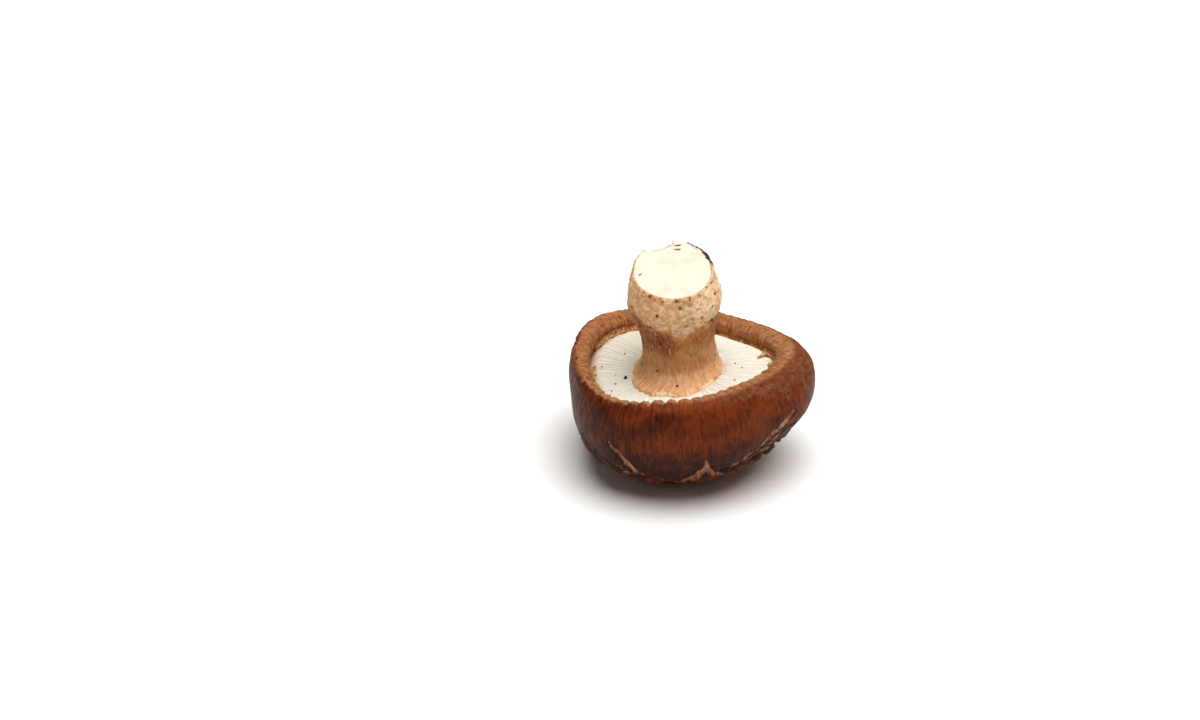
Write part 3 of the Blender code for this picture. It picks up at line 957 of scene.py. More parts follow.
# Sunken brown spots on the coat: bearing in degrees, share of the stem's length and radius in mm.
PITS = ((-83, 0.79, 1.0), (-27, 0.80, 0.7), (-137, 0.87, 0.6), (-114, 0.73, 0.8), (-58, 0.90, 0.4),
        (-126, 0.92, 0.6), (-78, 0.62, 0.5), (-50, 0.61, 0.4), (-40, 0.72, 0.5), (20, 0.75, 0.7),
        (75, 0.82, 0.6), (140, 0.78, 0.8), (185, 0.84, 0.6), (230, 0.60, 0.4))
# Slits in the cut face, as start and end across the cut, in mm from its middle.
CUT_SLITS = ((0.3, 6.9, 2.7, 7.2), (0.1, 5.7, 2.7, 5.8), (-8.3, -2.6, -7.2, -1.6))
# Row of the stem's grid that runs round the edge of the cut.
CUT_EDGE_ROW = SKIRT_ROWS + STEM_ROWS - 1
# Radius in mm at which the stem's fibres and pits are measured out.
STEM_MEASURE_MM = 11


def stem_grid():
    """The smooth stem from its skirt on the gills to the middle of the cut: points and shares.

    A share is the part of the stem's length that lies below a row, less than 0 on the skirt.
    """
    angle = np.arange(STEM_COLUMNS) / STEM_COLUMNS * math.tau
    ring = turned(1.0, angle, 0.0) * 13 * MM
    point, normal = cut_plane()
    share_at_cut = np.ones(STEM_COLUMNS)
    for _ in range(12):
        radius = stem_radius(share_at_cut, angle)
        fall = -(normal[0] * np.cos(angle) + normal[1] * np.sin(angle)) / normal[2] * radius
        share_at_cut = 1.0 + fall / STEM_LENGTH
    skirt = np.linspace(1.0, 0.0, SKIRT_ROWS, endpoint=False)[:, None]
    foot_radius = stem_radius(np.zeros(STEM_COLUMNS), angle)[None, :]
    fringe = 1.0 + 0.55 * fractal(ring, 5 * MM, 2, 98) + 0.35 * noise(ring, 1.1 * MM, 99)
    skirt_width = (around(SKIRT_REACH, angle) * np.clip(fringe, 0.15, 2.0))[None, :]
    skirt_radius = foot_radius + skirt_width * skirt
    rolled = 0.42 * MM - 1.5 * MM * smoothstep(0.80, 1.0, skirt) + 0.15 * MM * (1 - skirt)
    skirt_height = gill_edge_height(skirt_radius) + rolled
    share = np.linspace(0.0, 1.0, STEM_ROWS)[:, None] ** 1.08 * share_at_cut[None, :]
    side_radius = stem_radius(share, angle[None, :])
    low_blend = (skirt_height[-1:] - GILL_TOP) * (1 - smoothstep(0.0, 0.15, share))
    side_height = GILL_TOP + share * STEM_LENGTH + low_blend
    radius = np.concatenate([skirt_radius, side_radius])
    height = np.concatenate([skirt_height, side_height])
    side = turned(radius, angle, height)
    inward = (1.0 - np.linspace(0.0, 1.0, CUT_ROWS + 1)[1:-1])[:, None, None]
    face = point + (side[-1][None] - point) * inward
    grid = np.concatenate([side, face])
    edge = CUT_EDGE_ROW
    for first, last, times in ((edge - 3, edge + 4, 3), (SKIRT_ROWS - 8, SKIRT_ROWS + 8, 6)):
        for _ in range(times):
            smooth = (grid[:-2] + 2 * grid[1:-1] + grid[2:]) / 4
            grid[first:last] = smooth[first - 1:last - 1]
    level = np.concatenate([-skirt * 0.06 + 0 * foot_radius, share])
    return grid, np.concatenate([level, np.repeat(level[-1:], CUT_ROWS - 1, axis=0)])


def stem_pits(grid, angles, shares):
    """How deep each point lies in a pit of the coat, and how far up a pit's brim."""
    pit, brim = np.zeros(shares.shape), np.zeros(shares.shape)
    for bearing, place, size in PITS:
        x = turn_from(angles, math.radians(bearing)) * STEM_MEASURE_MM
        y = (shares - place) * STEM_LENGTH / MM
        away = np.hypot(x, y) + 0.45 * noise(grid, 0.9 * MM, 83) + 0.2 * noise(grid, 0.4 * MM, 80)
        pit = np.maximum(pit, 1 - smoothstep(0.35 * size, size, away))
        brim = np.maximum(brim, np.exp(-((away - 1.15 * size) / 0.3) ** 2))
    return pit, brim


def bitten_by_chip(grid, settled, point):
    """Pushes a settled stem out of the chip in the cut's far edge, and says where it was pushed."""
    bearing = np.array([math.cos(CHIP_BEARING), math.sin(CHIP_BEARING), 0.0])
    chip = rested(point) + CUT_TILT @ (bearing * (STEM_END_RADIUS + CHIP_RADIUS * 0.22))
    stretch = np.array([1.5, 1.0, 1.0])
    away = (settled - chip) @ CUT_TILT / stretch
    distance = np.linalg.norm(away, axis=-1, keepdims=True)
    wanted = CHIP_RADIUS * (1 + 0.14 * fractal(grid, 2 * MM, 2, 99))[..., None]
    pushed = away / np.maximum(distance, 1e-9) * np.maximum(distance, wanted)
    bitten = smoothstep(1.15, 0.98, distance[..., 0] / wanted[..., 0])
    return chip + (pushed * stretch) @ CUT_TILT.T, bitten


def cut_slits(grid, settled, point):
    """1 along the middle of each slit in the cut, falling to 0 at its sides and ends."""
    local = (settled - rested(point)) @ CUT_TILT
    slit = np.zeros(grid.shape[:2])
    for start_x, start_y, end_x, end_y in CUT_SLITS:
        step = np.array([end_x - start_x, end_y - start_y]) * MM
        x, y = local[..., 0] - start_x * MM, local[..., 1] - start_y * MM
        part = np.clip((x * step[0] + y * step[1]) / (step @ step), 0.0, 1.0)
        stray = 0.12 * MM * noise(grid, 0.8 * MM, 74)
        far = np.hypot(x - part * step[0], y - part * step[1] + stray)
        depth = np.sin(np.pi * np.clip(part, 0.08, 0.92))
        slit = np.maximum(slit, (1 - smoothstep(0.10 * MM, 0.34 * MM, far)) * depth)
    return slit


def stem_surface():
    """The stem's grid of points, from its skirt up to the middle of the cut, and its values."""
    grid, shares = stem_grid()
    point, _ = cut_plane()
    rows, edge = len(grid), CUT_EDGE_ROW
    row = np.arange(rows)[:, None] + np.zeros((1, STEM_COLUMNS))
    angles = np.broadcast_to(np.arange(STEM_COLUMNS) / STEM_COLUMNS * math.tau, row.shape)
    cut = smoothstep(edge - 1.5, edge + 1.5, row)
    out = grid_normals(grid, 1)
    flow = turned(STEM_MEASURE_MM * MM, angles, shares * STEM_LENGTH * 0.16)
    flow = flow + 0.3 * MM * noises(grid, 3 * MM, (77, 78, 79))

    coat_end = around(COAT_END, angles) + 0.05 * fractal(grid, 5 * MM, 3, 81)
    coat = smoothstep(coat_end - 0.09, coat_end + 0.09, shares) * (1 - cut)
    foot = smoothstep(0.40, 0.06, shares + 0.08 * noise(grid, 4 * MM, 82))
    pit, brim = (part * (1 - cut) for part in stem_pits(grid, angles, shares))
    tufts = folds(grid + 0.8 * MM * noises(grid, 2 * MM, (71, 72, 73)), 1.5 * MM, 88)
    tufted = noise(grid, 5 * MM, 84) + 0.3 * np.cos(angles - math.radians(-20))
    tufted = smoothstep(-0.3, 0.6, tufted)
    cotton = 0.28 * fractal(grid, 2.4 * MM, 4, 85) + (0.16 + 0.20 * tufted) * (tufts - 0.6)
    body = 0.34 * noise(grid, 9 * MM, 90) + 0.26 * noise(grid, 4.5 * MM, 91)
    fibrous = fractal(flow, 1.0 * MM, 3, 92)
    ridges = noise(flow, 2.2 * MM, 95)
    waved = grid * (0.35, 0.35, 1.0) + 0.3 * MM * fractal(grid, 4 * MM, 2, 94)[..., None]
    girdle = folds(waved, 1.6 * MM, 93) - 0.5
    at_waist = np.exp(-((shares - coat_end + 0.06) / 0.13) ** 2) * (1 - cut)
    pimples = fractal(grid, 0.9 * MM, 2, 89)
    bare = 0.09 * fibrous + 0.10 * ridges + 0.07 * pimples
    sawn = 0.06 * noise(grid, 3.5 * MM, 96) + 0.07 * folds(grid * (0.25, 1.9, 1.0), 1.1 * MM, 97)
    relief = (
        (1 - cut) * (body + coat * (0.32 + cotton) + (1 - coat) * bare)
        + 0.16 * at_waist * girdle
        + foot * 0.14 * ridges
        - 0.45 * pit + 0.20 * brim * (0.6 + noise(grid, 0.8 * MM, 86))
        + cut * sawn
    )
    relief = relief + 0.22 * noise(grid, 1.8 * MM, 76) * np.exp(-((row - edge + 3) / 5.0) ** 2)
    relief = relief * np.where(row < 4, row / 4.0, 1.0)
    centre_fade = smoothstep(rows + 2.0, rows - 10.0, row)
    grid = grid + out * (relief * centre_fade * MM)[..., None]

    settled, bitten = bitten_by_chip(grid, rested(grid), point)
    slit = cut_slits(grid, settled, point) * (row > edge + 1)
    settled = settled - CUT_TILT[:, 2] * (slit * 0.45 * MM)[..., None]

    right_edge = smoothstep(0.75, 0.35, bearing_gap(angles, 28) + 0.35 * noise(grid, 2 * MM, 101))
    band = np.exp(-((row - edge + 2.0) / (3.4 + 2.4 * noise(grid, 1.5 * MM, 102))) ** 2)
    tear = np.clip(right_edge * band * 1.4, 0, 1)
    flaked = smoothstep(0.05, 0.30, noise(grid, 1.0 * MM, 103))
    flakes = np.exp(-((row - edge + 3.0) / 4.0) ** 2) * flaked
    chipped = bitten * smoothstep(0.0, 0.3, noise(grid, 1 * MM, 104))
    brown_hem = np.exp(-((shares - coat_end) / 0.04) ** 2) * (1 - cut)
    brown_hem = brown_hem * smoothstep(0.0, 0.4, noise(grid, 3 * MM, 105))
    stain = np.maximum.reduce([0.75 * pit, 0.9 * flakes, 0.6 * chipped, 0.5 * brown_hem, 0.8 * slit])
    raised = 0.35 * MM * np.maximum(tear, 0.6 * flakes)
    settled = settled + (rested(grid + out) - rested(grid)) * raised[..., None]
    brown_sides = smoothstep(1.3, 0.5, bearing_gap(angles, 215))
    brown_sides = brown_sides + 0.6 * smoothstep(1.0, 0.3, bearing_gap(angles, -8))
    peeled = brown_sides * smoothstep(0.16, 0.40, shares + 0.1 * noise(grid, 3 * MM, 107)) * (1 - coat)
    rough_edge = chipped * np.exp(-((row - edge) / 5.0) ** 2)
    tear = np.maximum.reduce([tear, 0.9 * slit, 0.8 * rough_edge])
    values = {
        "flow": flow, "coat": coat, "foot": foot, "cut": cut, "tear": tear, "stain": stain,
        "relief": (cotton + 0.4 * girdle * at_waist) * (1 - cut), "peeled": np.clip(peeled, 0, 1),
        "hem": smoothstep(0.004, -0.045, shares),
        "shade": smoothstep(1.9, 0.7, bearing_gap(angles, 205)),
        "fuzz": (1 - cut) * smoothstep(-0.02, 0.06, shares) * (1 - 0.9 * coat),
    }
    return settled, values


# ---------------------------------------------------------------- what is scattered

def fibrils(surface, density, length, width, seed, material):
    """Fine tapered hairs scattered along a surface's grain, each a bent three-sided spike."""
    tree = Tree("fibrils", (
        ("Density", "Float"), ("Length", "Float"), ("Width", "Float"), ("Seed", "Int"),
        ("Material", "Material"),
    ))
    local_density = tree.math("MULTIPLY", tree.given("Density"), tree.stored("weight"))
    spread = tree.node("GeometryNodeDistributePointsOnFaces", {"distribute_method": "RANDOM"},
                       mesh=tree.given("Geometry"), density=local_density, seed=tree.given("Seed"))
    stray = tree.combine(*(tree.random(-0.35, 0.35, step) for step in (1, 2, 3)))
    grain = tree.out(tree.node("ShaderNodeVectorMath", {"operation": "ADD"},
                               i0=tree.stored("grain", "FLOAT_VECTOR"), i1=stray))
    upward = tree.node("FunctionNodeAlignRotationToVector", {"axis": "Z"},
                       vector=spread.outputs["Normal"])
    lying = tree.node("FunctionNodeAlignRotationToVector", {"axis": "X", "pivot_axis": "Z"},
                      rotation=tree.out(upward), vector=grain)
    spine = tree.out(tree.node("GeometryNodeCurveQuadraticBezier", resolution=4,
                               start=(-0.5, 0.0, -0.04), middle=(0.0, 0.0, 0.16),
                               end=(0.5, 0.06, -0.02)))
    along = tree.out(tree.node("GeometryNodeSplineParameter"))
    thin = tree.math("SUBTRACT", 1.0, tree.math("MULTIPLY", along, 0.8))
    spine = tree.out(tree.node("GeometryNodeSetCurveRadius", curve=spine, radius=thin))
    section = tree.out(tree.node("GeometryNodeCurvePrimitiveCircle", resolution=3, radius=0.5))
    hair = tree.out(tree.node("GeometryNodeCurveToMesh", curve=spine, profile_curve=section,
                              fill_caps=True))
    size = tree.combine(tree.math("MULTIPLY", tree.given("Length"), tree.random(0.5, 1.5, 4)),
                        tree.given("Width"), tree.given("Width"))
    placed = tree.node("GeometryNodeInstanceOnPoints", points=spread.outputs["Points"],
                       instance=hair, rotation=tree.out(lying), scale=size)
    tree.close(tree.out(placed))
    return grown_by(tree, {"Density": density, "Length": length, "Width": width, "Seed": seed,
                           "Material": material}, surface)


def speck_tree():
    """Crumbs of earth on given points: low, uneven lumps turned every way."""
    tree = Tree("specks", (("Width", "Float"), ("Seed", "Int"), ("Material", "Material")))
    lump = tree.out(tree.node("GeometryNodeMeshIcoSphere", radius=0.5, subdivisions=2))
    place = tree.out(tree.node("GeometryNodeInputPosition"))
    rough = tree.node("ShaderNodeTexNoise", {"noise_dimensions": "3D"}, vector=place, scale=2.2)
    centred = tree.out(tree.node("ShaderNodeVectorMath", {"operation": "SUBTRACT"},
                                 i0=rough.outputs["Color"], i1=(0.5, 0.5, 0.5)))
    shifted = tree.node("ShaderNodeVectorMath", {"operation": "SCALE"}, i0=centred, scale=1.1)
    lump = tree.out(tree.node("GeometryNodeSetPosition", geometry=lump, offset=tree.out(shifted)))
    upward = tree.out(tree.node("FunctionNodeAlignRotationToVector", {"axis": "Z"},
                                vector=tree.stored("outward", "FLOAT_VECTOR")))
    spin = tree.out(tree.node("FunctionNodeRotateRotation", {"rotation_space": "LOCAL"},
                              rotation=upward,
                              rotate_by=tree.combine(0.0, 0.0, tree.random(0.0, math.tau, 1))))
    scale = tree.math("MULTIPLY", tree.given("Width"), tree.stored("bulk"))
    size = tree.combine(tree.math("MULTIPLY", scale, tree.random(0.8, 1.9, 3)), scale,
                        tree.math("MULTIPLY", scale, 0.75))
    placed = tree.node("GeometryNodeInstanceOnPoints", points=tree.given("Geometry"), instance=lump,
                       rotation=spin, scale=size)
    tree.close(tree.out(placed))
    return tree


def speck_points(spots):
    """A mesh of loose points that carry the way out and the size of the crumb on each."""
    places = np.array([place for place, _, _ in spots])
    mesh = bpy.data.meshes.new("speck_points")
    mesh.from_pydata(places.tolist(), [], [])
    keep_value(mesh, "outward", np.array([way for _, way, _ in spots]))
    keep_value(mesh, "bulk", np.array([bulk for _, _, bulk in spots]))
    return mesh


def scattered_spots(piece, weight, count, seed):
    """Random vertices of a piece, picked as often as their weight says, each with a size."""
    chance = np.random.default_rng(seed)
    picked = chance.choice(len(weight), count, p=weight / weight.sum())
    bulks = 0.16 + 0.55 * chance.random(count) ** 4
    vertices = [piece.data.vertices[int(index)] for index in picked]
    return [(np.array(vertex.co), np.array(vertex.normal), bulk)
            for vertex, bulk in zip(vertices, bulks)]


def stem_spot(bearing, share, bulk):
    """A crumb on the stem at a bearing in degrees and a share of its length."""
    angle = math.radians(bearing)
    radius = float(stem_radius(np.array(share), np.array(angle))) + 0.25 * MM
    way = np.array([math.cos(angle), math.sin(angle), 0.15])
    place = np.array([way[0] * radius, way[1] * radius, GILL_TOP + share * STEM_LENGTH])
    return rested(place), TURN @ way, bulk


def gill_spot(bearing, radius, bulk):
    """A crumb on the gills at a bearing in degrees and a radius in mm."""
    angle = math.radians(bearing)
    height = float(gill_edge_height(np.array(radius * MM))) + 0.15 * MM
    place = grown(turned(radius * MM, np.array([angle]), height))[0]
    return rested(place), STEM_AXIS, bulk


# Crumbs of earth worth placing: bearing, share of the stem's length, size.
STEM_CRUMBS = (
    (-171, 0.10, 0.55), (-120, 0.06, 1.0), (-118, 0.02, 0.6), (-27, 0.06, 0.6),
    (-117, 0.42, 0.6), (-62, 0.45, 0.4), (-128, 0.14, 0.45), (-20, 0.17, 0.5),
    (-110, 0.80, 0.35), (-72, 0.30, 0.35),
)
# The same on the gills: bearing, radius in mm, size.
GILL_CRUMBS = (
    (-165, 14.0, 1.0), (-153, 12.3, 0.5), (-158, 17.0, 0.45), (1, 23.6, 1.1),
    (-3, 13.2, 0.5), (-12, 15.0, 0.4), (-35, 16.5, 0.45), (-150, 19.0, 0.4),
    (95, 16.0, 0.4), (150, 15.0, 0.5), (25, 18.0, 0.3), (-172, 16.0, 0.3),
    (175, 19.0, 0.35), (60, 14.5, 0.35),
)


def surface_for_scatter(piece, weight, grain):
    """A copy of a piece's mesh that carries where and which way scattered shapes lie."""
    mesh = piece.data.copy()
    keep_value(mesh, "weight", weight)
    keep_value(mesh, "grain", grain)
    return mesh


# ---------------------------------------------------------------- veil

# Shreds: first and last bearing in degrees, seed and columns.
VEIL_SHREDS = ((-14, 66, 111, 220), (98, 150, 131, 220), (168, 205, 151, 120))
# Strips: bearing in degrees and radius of each end, width and seed.
TORN_STRIPS = (
    ((3, 18.0 * MM), (16, 22.8 * MM), 0.9 * MM, 171),
    ((9, 19.4 * MM), (18, 22.4 * MM), 0.45 * MM, 181),
)
VEIL_THICKNESS = 0.16 * MM


def veil_shred(first_degrees, last_degrees, seed, columns, rows=9):
    """One torn strip of the veil: it hangs from the lip's inner edge, ragged over the gills."""
    angle = np.radians(np.linspace(first_degrees, last_degrees, columns))[None, :]
    down = np.linspace(0.0, 1.0, rows)[:, None]
    track = np.stack([angle[0] * 24 * MM, 0 * angle[0], 0 * angle[0] + seed * 0.1], -1)
    points_out = np.maximum(noise(track, 1.0 * MM, seed + 5), 0)
    reach = 1.1 + 1.0 * fractal(track, 3.2 * MM, 3, seed) + 0.9 * points_out
    along = np.linspace(0, 1, columns)
    ends = smoothstep(0.0, 0.10, along) * smoothstep(1.0, 0.90, along)
    reach = np.clip(reach, 0.25, 2.9)[None, :] * ends[None, :] * MM + 0.05 * MM
    curl = noise(track, 2.0 * MM, seed + 7)[None, :]
    radius = OPENING_RADIUS + 0.9 * MM - down * (reach + 0.6 * MM)
    top = CAP_DEPTH - LIP_DROP - 0.1 * MM
    low = gill_edge_height(radius) + 0.25 * MM + 0.35 * MM * curl * down
    height = top + (low - top) * smoothstep(0.0, 0.75, down)
    points = turned(radius, angle, height)
    points = points + 0.12 * MM * noises(points, 0.9 * MM, range(seed + 9, seed + 12))
    return rested(grown(points))


def torn_strip(first, last, width, seed, columns=50, rows=5):
    """A loose curled strip of veil that lies on the gills between two spots of bearing and radius."""
    along = np.linspace(0.0, 1.0, columns)[None, :]
    across = np.linspace(-0.5, 0.5, rows)[:, None]
    bearing = np.radians(first[0] + (last[0] - first[0]) * along)
    radius = first[1] + (last[1] - first[1]) * along
    middle = np.stack([radius * np.cos(bearing), radius * np.sin(bearing)], -1)
    step = np.gradient(middle, axis=1)
    side = np.stack([-step[..., 1], step[..., 0]], -1)
    side = side / np.linalg.norm(side, axis=-1, keepdims=True)
    track = np.stack([along[0] * 12 * MM, 0 * along[0], 0 * along[0] + seed * 0.07], -1)
    narrowed = width * np.sin(np.pi * np.clip(along, 0.02, 0.98)) ** 0.6
    bulk = narrowed * (1 + 0.6 * noise(track, 2 * MM, seed))[None, :]
    flat = middle + side * (across * bulk)[..., None]
    arch = 0.5 * MM * (0.6 + noise(track, 3 * MM, seed + 1))[None, :] * (1 - 2 * np.abs(across))
    height = gill_edge_height(np.linalg.norm(flat, axis=-1)) + 0.25 * MM + arch
    return rested(grown(np.concatenate([flat, height[..., None]], -1)))


def sheet_faces(rows, columns, offset):
    row, column = np.meshgrid(np.arange(rows - 1), np.arange(columns - 1), indexing="ij")
    first = row * columns + column + offset
    corners = [first, first + 1, first + columns + 1, first + columns]
    return np.stack(corners, -1).reshape(-1, 4).tolist()


def thick_sheets(name, grids, thickness):
    """One closed mesh of several thin sheets, each given a wall by Solidify."""
    points, faces = [], []
    for grid in grids:
        faces += sheet_faces(*grid.shape[:2], len(points))
        points += grid.reshape(-1, 3).tolist()
    flat = bpy.data.meshes.new(name)
    flat.from_pydata(points, [], faces)
    holder = linked(name, flat)
    wall = holder.modifiers.new("wall", "SOLIDIFY")
    wall.thickness = thickness
    wall.offset = 0.0
    return plain_mesh_of(holder)


# ---------------------------------------------------------------- what a user would change

def colour(label, description, default):
    return bpy.props.FloatVectorProperty(name=label, description=description, default=default,
                                         subtype="COLOR", size=3, min=0.0, max=1.0)


def number(label, description, default, **more):
    return bpy.props.FloatProperty(name=label, description=description, default=default, **more)


def distance(label, description, default, least=0.0):
    return number(label, description, default, subtype="DISTANCE", unit="LENGTH", precision=5,
                  min=least)


def angle_value(label, description, default):
    return number(label, description, default, subtype="ANGLE", unit="ROTATION")


def whole_number(label, description, default, least=0, most=1000):
    return bpy.props.IntProperty(name=label, description=description, default=default,
                                 min=least, max=most)


class CapLooks(bpy.types.PropertyGroup):
    """Colours and relief of the cap."""

    # Side Dark is also the colour of the painted shade in the side's folds and towards the crown.
    side_dark: colour("Side Dark", "Darkest streaks of the glossy side", (0.028, 0.0055, 0.0014))
    # Side Warm is also the colour of the painted shade in the rim's wrinkle troughs.
    side_warm: colour("Side Warm", "Red-brown streaks of the glossy side", (0.200, 0.036, 0.0035))
    side_glow: colour("Side Glow", "Brightest streaks of the glossy side", (0.380, 0.120, 0.022))
    rim_dark: colour("Rim Dark", "Darker mottling of the matt rim", (0.150, 0.043, 0.015))
    rim_pale: colour("Rim Pale", "Paler mottling of the matt rim", (0.360, 0.135, 0.056))
    lip_colour: colour("Lip", "Tan fringe along the lip's inner edge", (0.520, 0.270, 0.125))
    crack_dark: colour("Crack Dark", "Veins in the flesh that shows in cracks", (0.260, 0.090, 0.042))
    crack_pale: colour("Crack Pale", "Flesh that shows where the skin has split", (0.640, 0.350, 0.215))
    wrinkle_depth: distance("Wrinkle Depth", "Height of the folds on the rim", 0.00034)
    crack_depth: distance("Crack Depth", "Depth of the cracks in the crown", 0.0009)
    lip_raggedness: distance("Lip Raggedness", "How far the lip's inner edge strays", 0.0010)


class GillLooks(bpy.types.PropertyGroup):
    """Number, size and colours of the gills."""

    blades: whole_number("Gills", "Number of gills, long and short together", 430, 60, 700)
    thickness: distance("Thickness", "Thickness of a gill at its root", 0.00027)
    edge_waver: distance("Edge Waver", "How far the gills' free edges rise and fall", 0.00012)
    edge_colour: colour("Edge", "Cream of the gills' free edges", (0.985, 0.955, 0.850))
    warm_colour: colour("Warm", "Warmer cream in patches", (0.960, 0.870, 0.710))
    # Painted shade down between the gills.
    painted_root_shade: colour("Root", "Tan between the gills", (0.960, 0.850, 0.690))
    stain_colour: colour("Stain", "Tan where the gills meet the lip and the stem", (0.680, 0.420, 0.200))


class StemLooks(bpy.types.PropertyGroup):
    """Colours of the stem's cut, coat, skin and foot."""

    cut_colour: colour("Cut", "Flesh of the cut end", (0.800, 0.780, 0.655))
    cut_warm: colour("Cut Warm", "Warmer patches of the cut end", (0.700, 0.580, 0.390))
    coat_pale: colour("Coat Pale", "Cottony coat round the bulge", (0.900, 0.700, 0.480))
    coat_tan: colour("Coat Tan", "Tan mottling of the coat", (0.690, 0.390, 0.185))
    skin_dark: colour("Skin Dark", "Brown peeled skin beside the coat", (0.270, 0.075, 0.014))
    # Skin Warm is also the painted shade in the hollows of the coat.
    skin_warm: colour("Skin Warm", "Brown patches round the waist", (0.470, 0.180, 0.052))
    skin_pale: colour("Skin Pale", "Paler skin round the waist", (0.700, 0.360, 0.145))
    fleck_colour: colour("Flecks", "Pale flecks round the waist", (0.860, 0.600, 0.350))
    foot_dark: colour("Foot Dark", "Darker fibres of the foot", (0.640, 0.290, 0.115))
    foot_pale: colour("Foot Pale", "Paler fibres of the foot", (0.900, 0.600, 0.360))
    stain_colour: colour("Pits", "Brown of the pits and flakes", (0.300, 0.110, 0.036))
    tear_colour: colour("Torn Skin", "Dark torn skin at the edge of the cut", (0.070, 0.028, 0.014))


class ScatterLooks(bpy.types.PropertyGroup):
    """Fibrils, shreds of veil and specks of earth."""

    fibril_density: number("Fibrils", "Fibrils on the stem, per square metre", 1.6e6, min=0.0)
    fuzz_density: number("Rim Fuzz", "Fibrils on the rim, per square metre", 1.0e6, min=0.0)
    stem_specks: whole_number("Stem Specks", "Crumbs of earth scattered on the stem", 46)
    rim_specks: whole_number("Rim Specks", "Crumbs of earth scattered on the rim", 40)
    fibril_shade: colour("Fibril Shade", "Darkest fibrils of the stem", (0.50, 0.28, 0.14))
    fibril_light: colour("Fibril Light", "Palest fibrils of the stem", (0.86, 0.68, 0.46))
    fuzz_shade: colour("Fuzz Shade", "Darkest fibrils of the rim", (0.22, 0.075, 0.028))
    fuzz_light: colour("Fuzz Light", "Palest fibrils of the rim", (0.46, 0.21, 0.10))
    speck_width: distance("Speck Width", "Width of the largest specks", 0.0009)
    veil_dark: colour("Veil Dark", "Brown of the torn veil", (0.300, 0.125, 0.040))
    veil_pale: colour("Veil Pale", "Gold of the torn veil", (0.680, 0.420, 0.200))
    earth_dark: colour("Earth Dark", "Darkest specks", (0.018, 0.009, 0.005))
    earth_pale: colour("Earth Pale", "Palest specks", (0.090, 0.040, 0.018))


class StageLooks(bpy.types.PropertyGroup):
    """Floor, lights and camera."""

    floor_colour: colour("Floor", "Colour of the floor", (0.950, 0.950, 0.950))
    elevation: angle_value("Elevation", "How far the camera looks down", math.radians(29))
    lens: number("Lens", "Focal length", 90.0, subtype="DISTANCE_CAMERA", unit="CAMERA")
    camera_distance: distance("Camera Distance", "From the camera to what it is aimed at", 0.76)
    aim_across: distance("Aim Across", "Where the camera is aimed, along X", -0.0187, -1.0)
    aim_up: distance("Aim Up", "How far up its own view the camera is aimed", 0.0243)
    key_strength: number("Key Light", "Strength of the soft light overhead", 3.20, min=0.0)
    key_softness: angle_value("Key Softness", "Angle that the overhead light fills", math.radians(62))
    fill_strength: number("Fill", "Strength of the light from all round", 0.15, min=0.0)


# ---------------------------------------------------------------- operators

class MUSHROOM_OT_cap(bpy.types.Operator):
    """Make the cap: its rolled rim, glossy side and cracked crown"""

    bl_idname = "mushroom.cap"
    bl_label = "Make Cap"

    def execute(self, context):
        looks = context.scene.mushroom_cap
        grid, values = cap_surface(looks)
        mesh = mesh_of_grid("cap_flesh", grid, facing=-1)
        keep_values(mesh, values)
        add_piece("cap_flesh", mesh, skin_finish(looks), ("cap",))
        return {"FINISHED"}


class MUSHROOM_OT_gills(bpy.types.Operator):
    """Make the gills: the flesh they stand on and every blade"""

    bl_idname = "mushroom.gills"
    bl_label = "Make Gills"

    def execute(self, context):
        looks = context.scene.mushroom_gills
        cream = gill_finish(looks)
        grid = gill_bed_grid()
        bed = mesh_of_grid("gill_bed", grid, poles=(False, False), facing=-1)
        keep_values(bed, dict.fromkeys(("depth", "stain", "blade"), np.zeros(grid.shape[:2])))
        close_seams(bed)
        add_piece("gill_bed", bed, cream)
        blades = grown_by(gill_tree(), {
            "Blades": looks.blades, "Circle Radius": GILL_OUTER_RADIUS,
            "Blade Length": GILL_OUTER_RADIUS - GILL_INNER_RADIUS,
            "Blade Thickness": looks.thickness, "Seed": 7, "Material": cream,
        })
        stand_gills(blades, looks)
        piece = add_piece("gill_blades", blades, None, ("gills",))
        piece.data.set_sharp_from_angle(angle=BLADE_EDGE_ANGLE)
        return {"FINISHED"}


class MUSHROOM_OT_stem(bpy.types.Operator):
    """Make the stem: flared foot, fibrous waist, cottony bulge and cut end"""

    bl_idname = "mushroom.stem"
    bl_label = "Make Stem"

    def execute(self, context):
        looks = context.scene.mushroom_stem
        grid, values = stem_surface()
        mesh = mesh_of_grid("stem_flesh", grid)
        keep_values(mesh, values)
        add_piece("stem_flesh", mesh, stem_finish(looks), ("stem",))
        return {"FINISHED"}


class MUSHROOM_OT_veil(bpy.types.Operator):
    """Make what is left of the veil: ragged shreds under the lip and torn strips on the gills"""

    bl_idname = "mushroom.veil"
    bl_label = "Make Veil Shreds"

    def execute(self, context):
        looks = context.scene.mushroom_scatter
        gold = plain_flesh_finish("veil_gold", looks.veil_dark, looks.veil_pale, 0.8 * MM)
        grids = [veil_shred(*shred) for shred in VEIL_SHREDS]
        grids += [torn_strip(*strip) for strip in TORN_STRIPS]
        mesh = thick_sheets("veil_shreds", grids, VEIL_THICKNESS)
        add_piece("veil_shreds", mesh, gold)
        return {"FINISHED"}


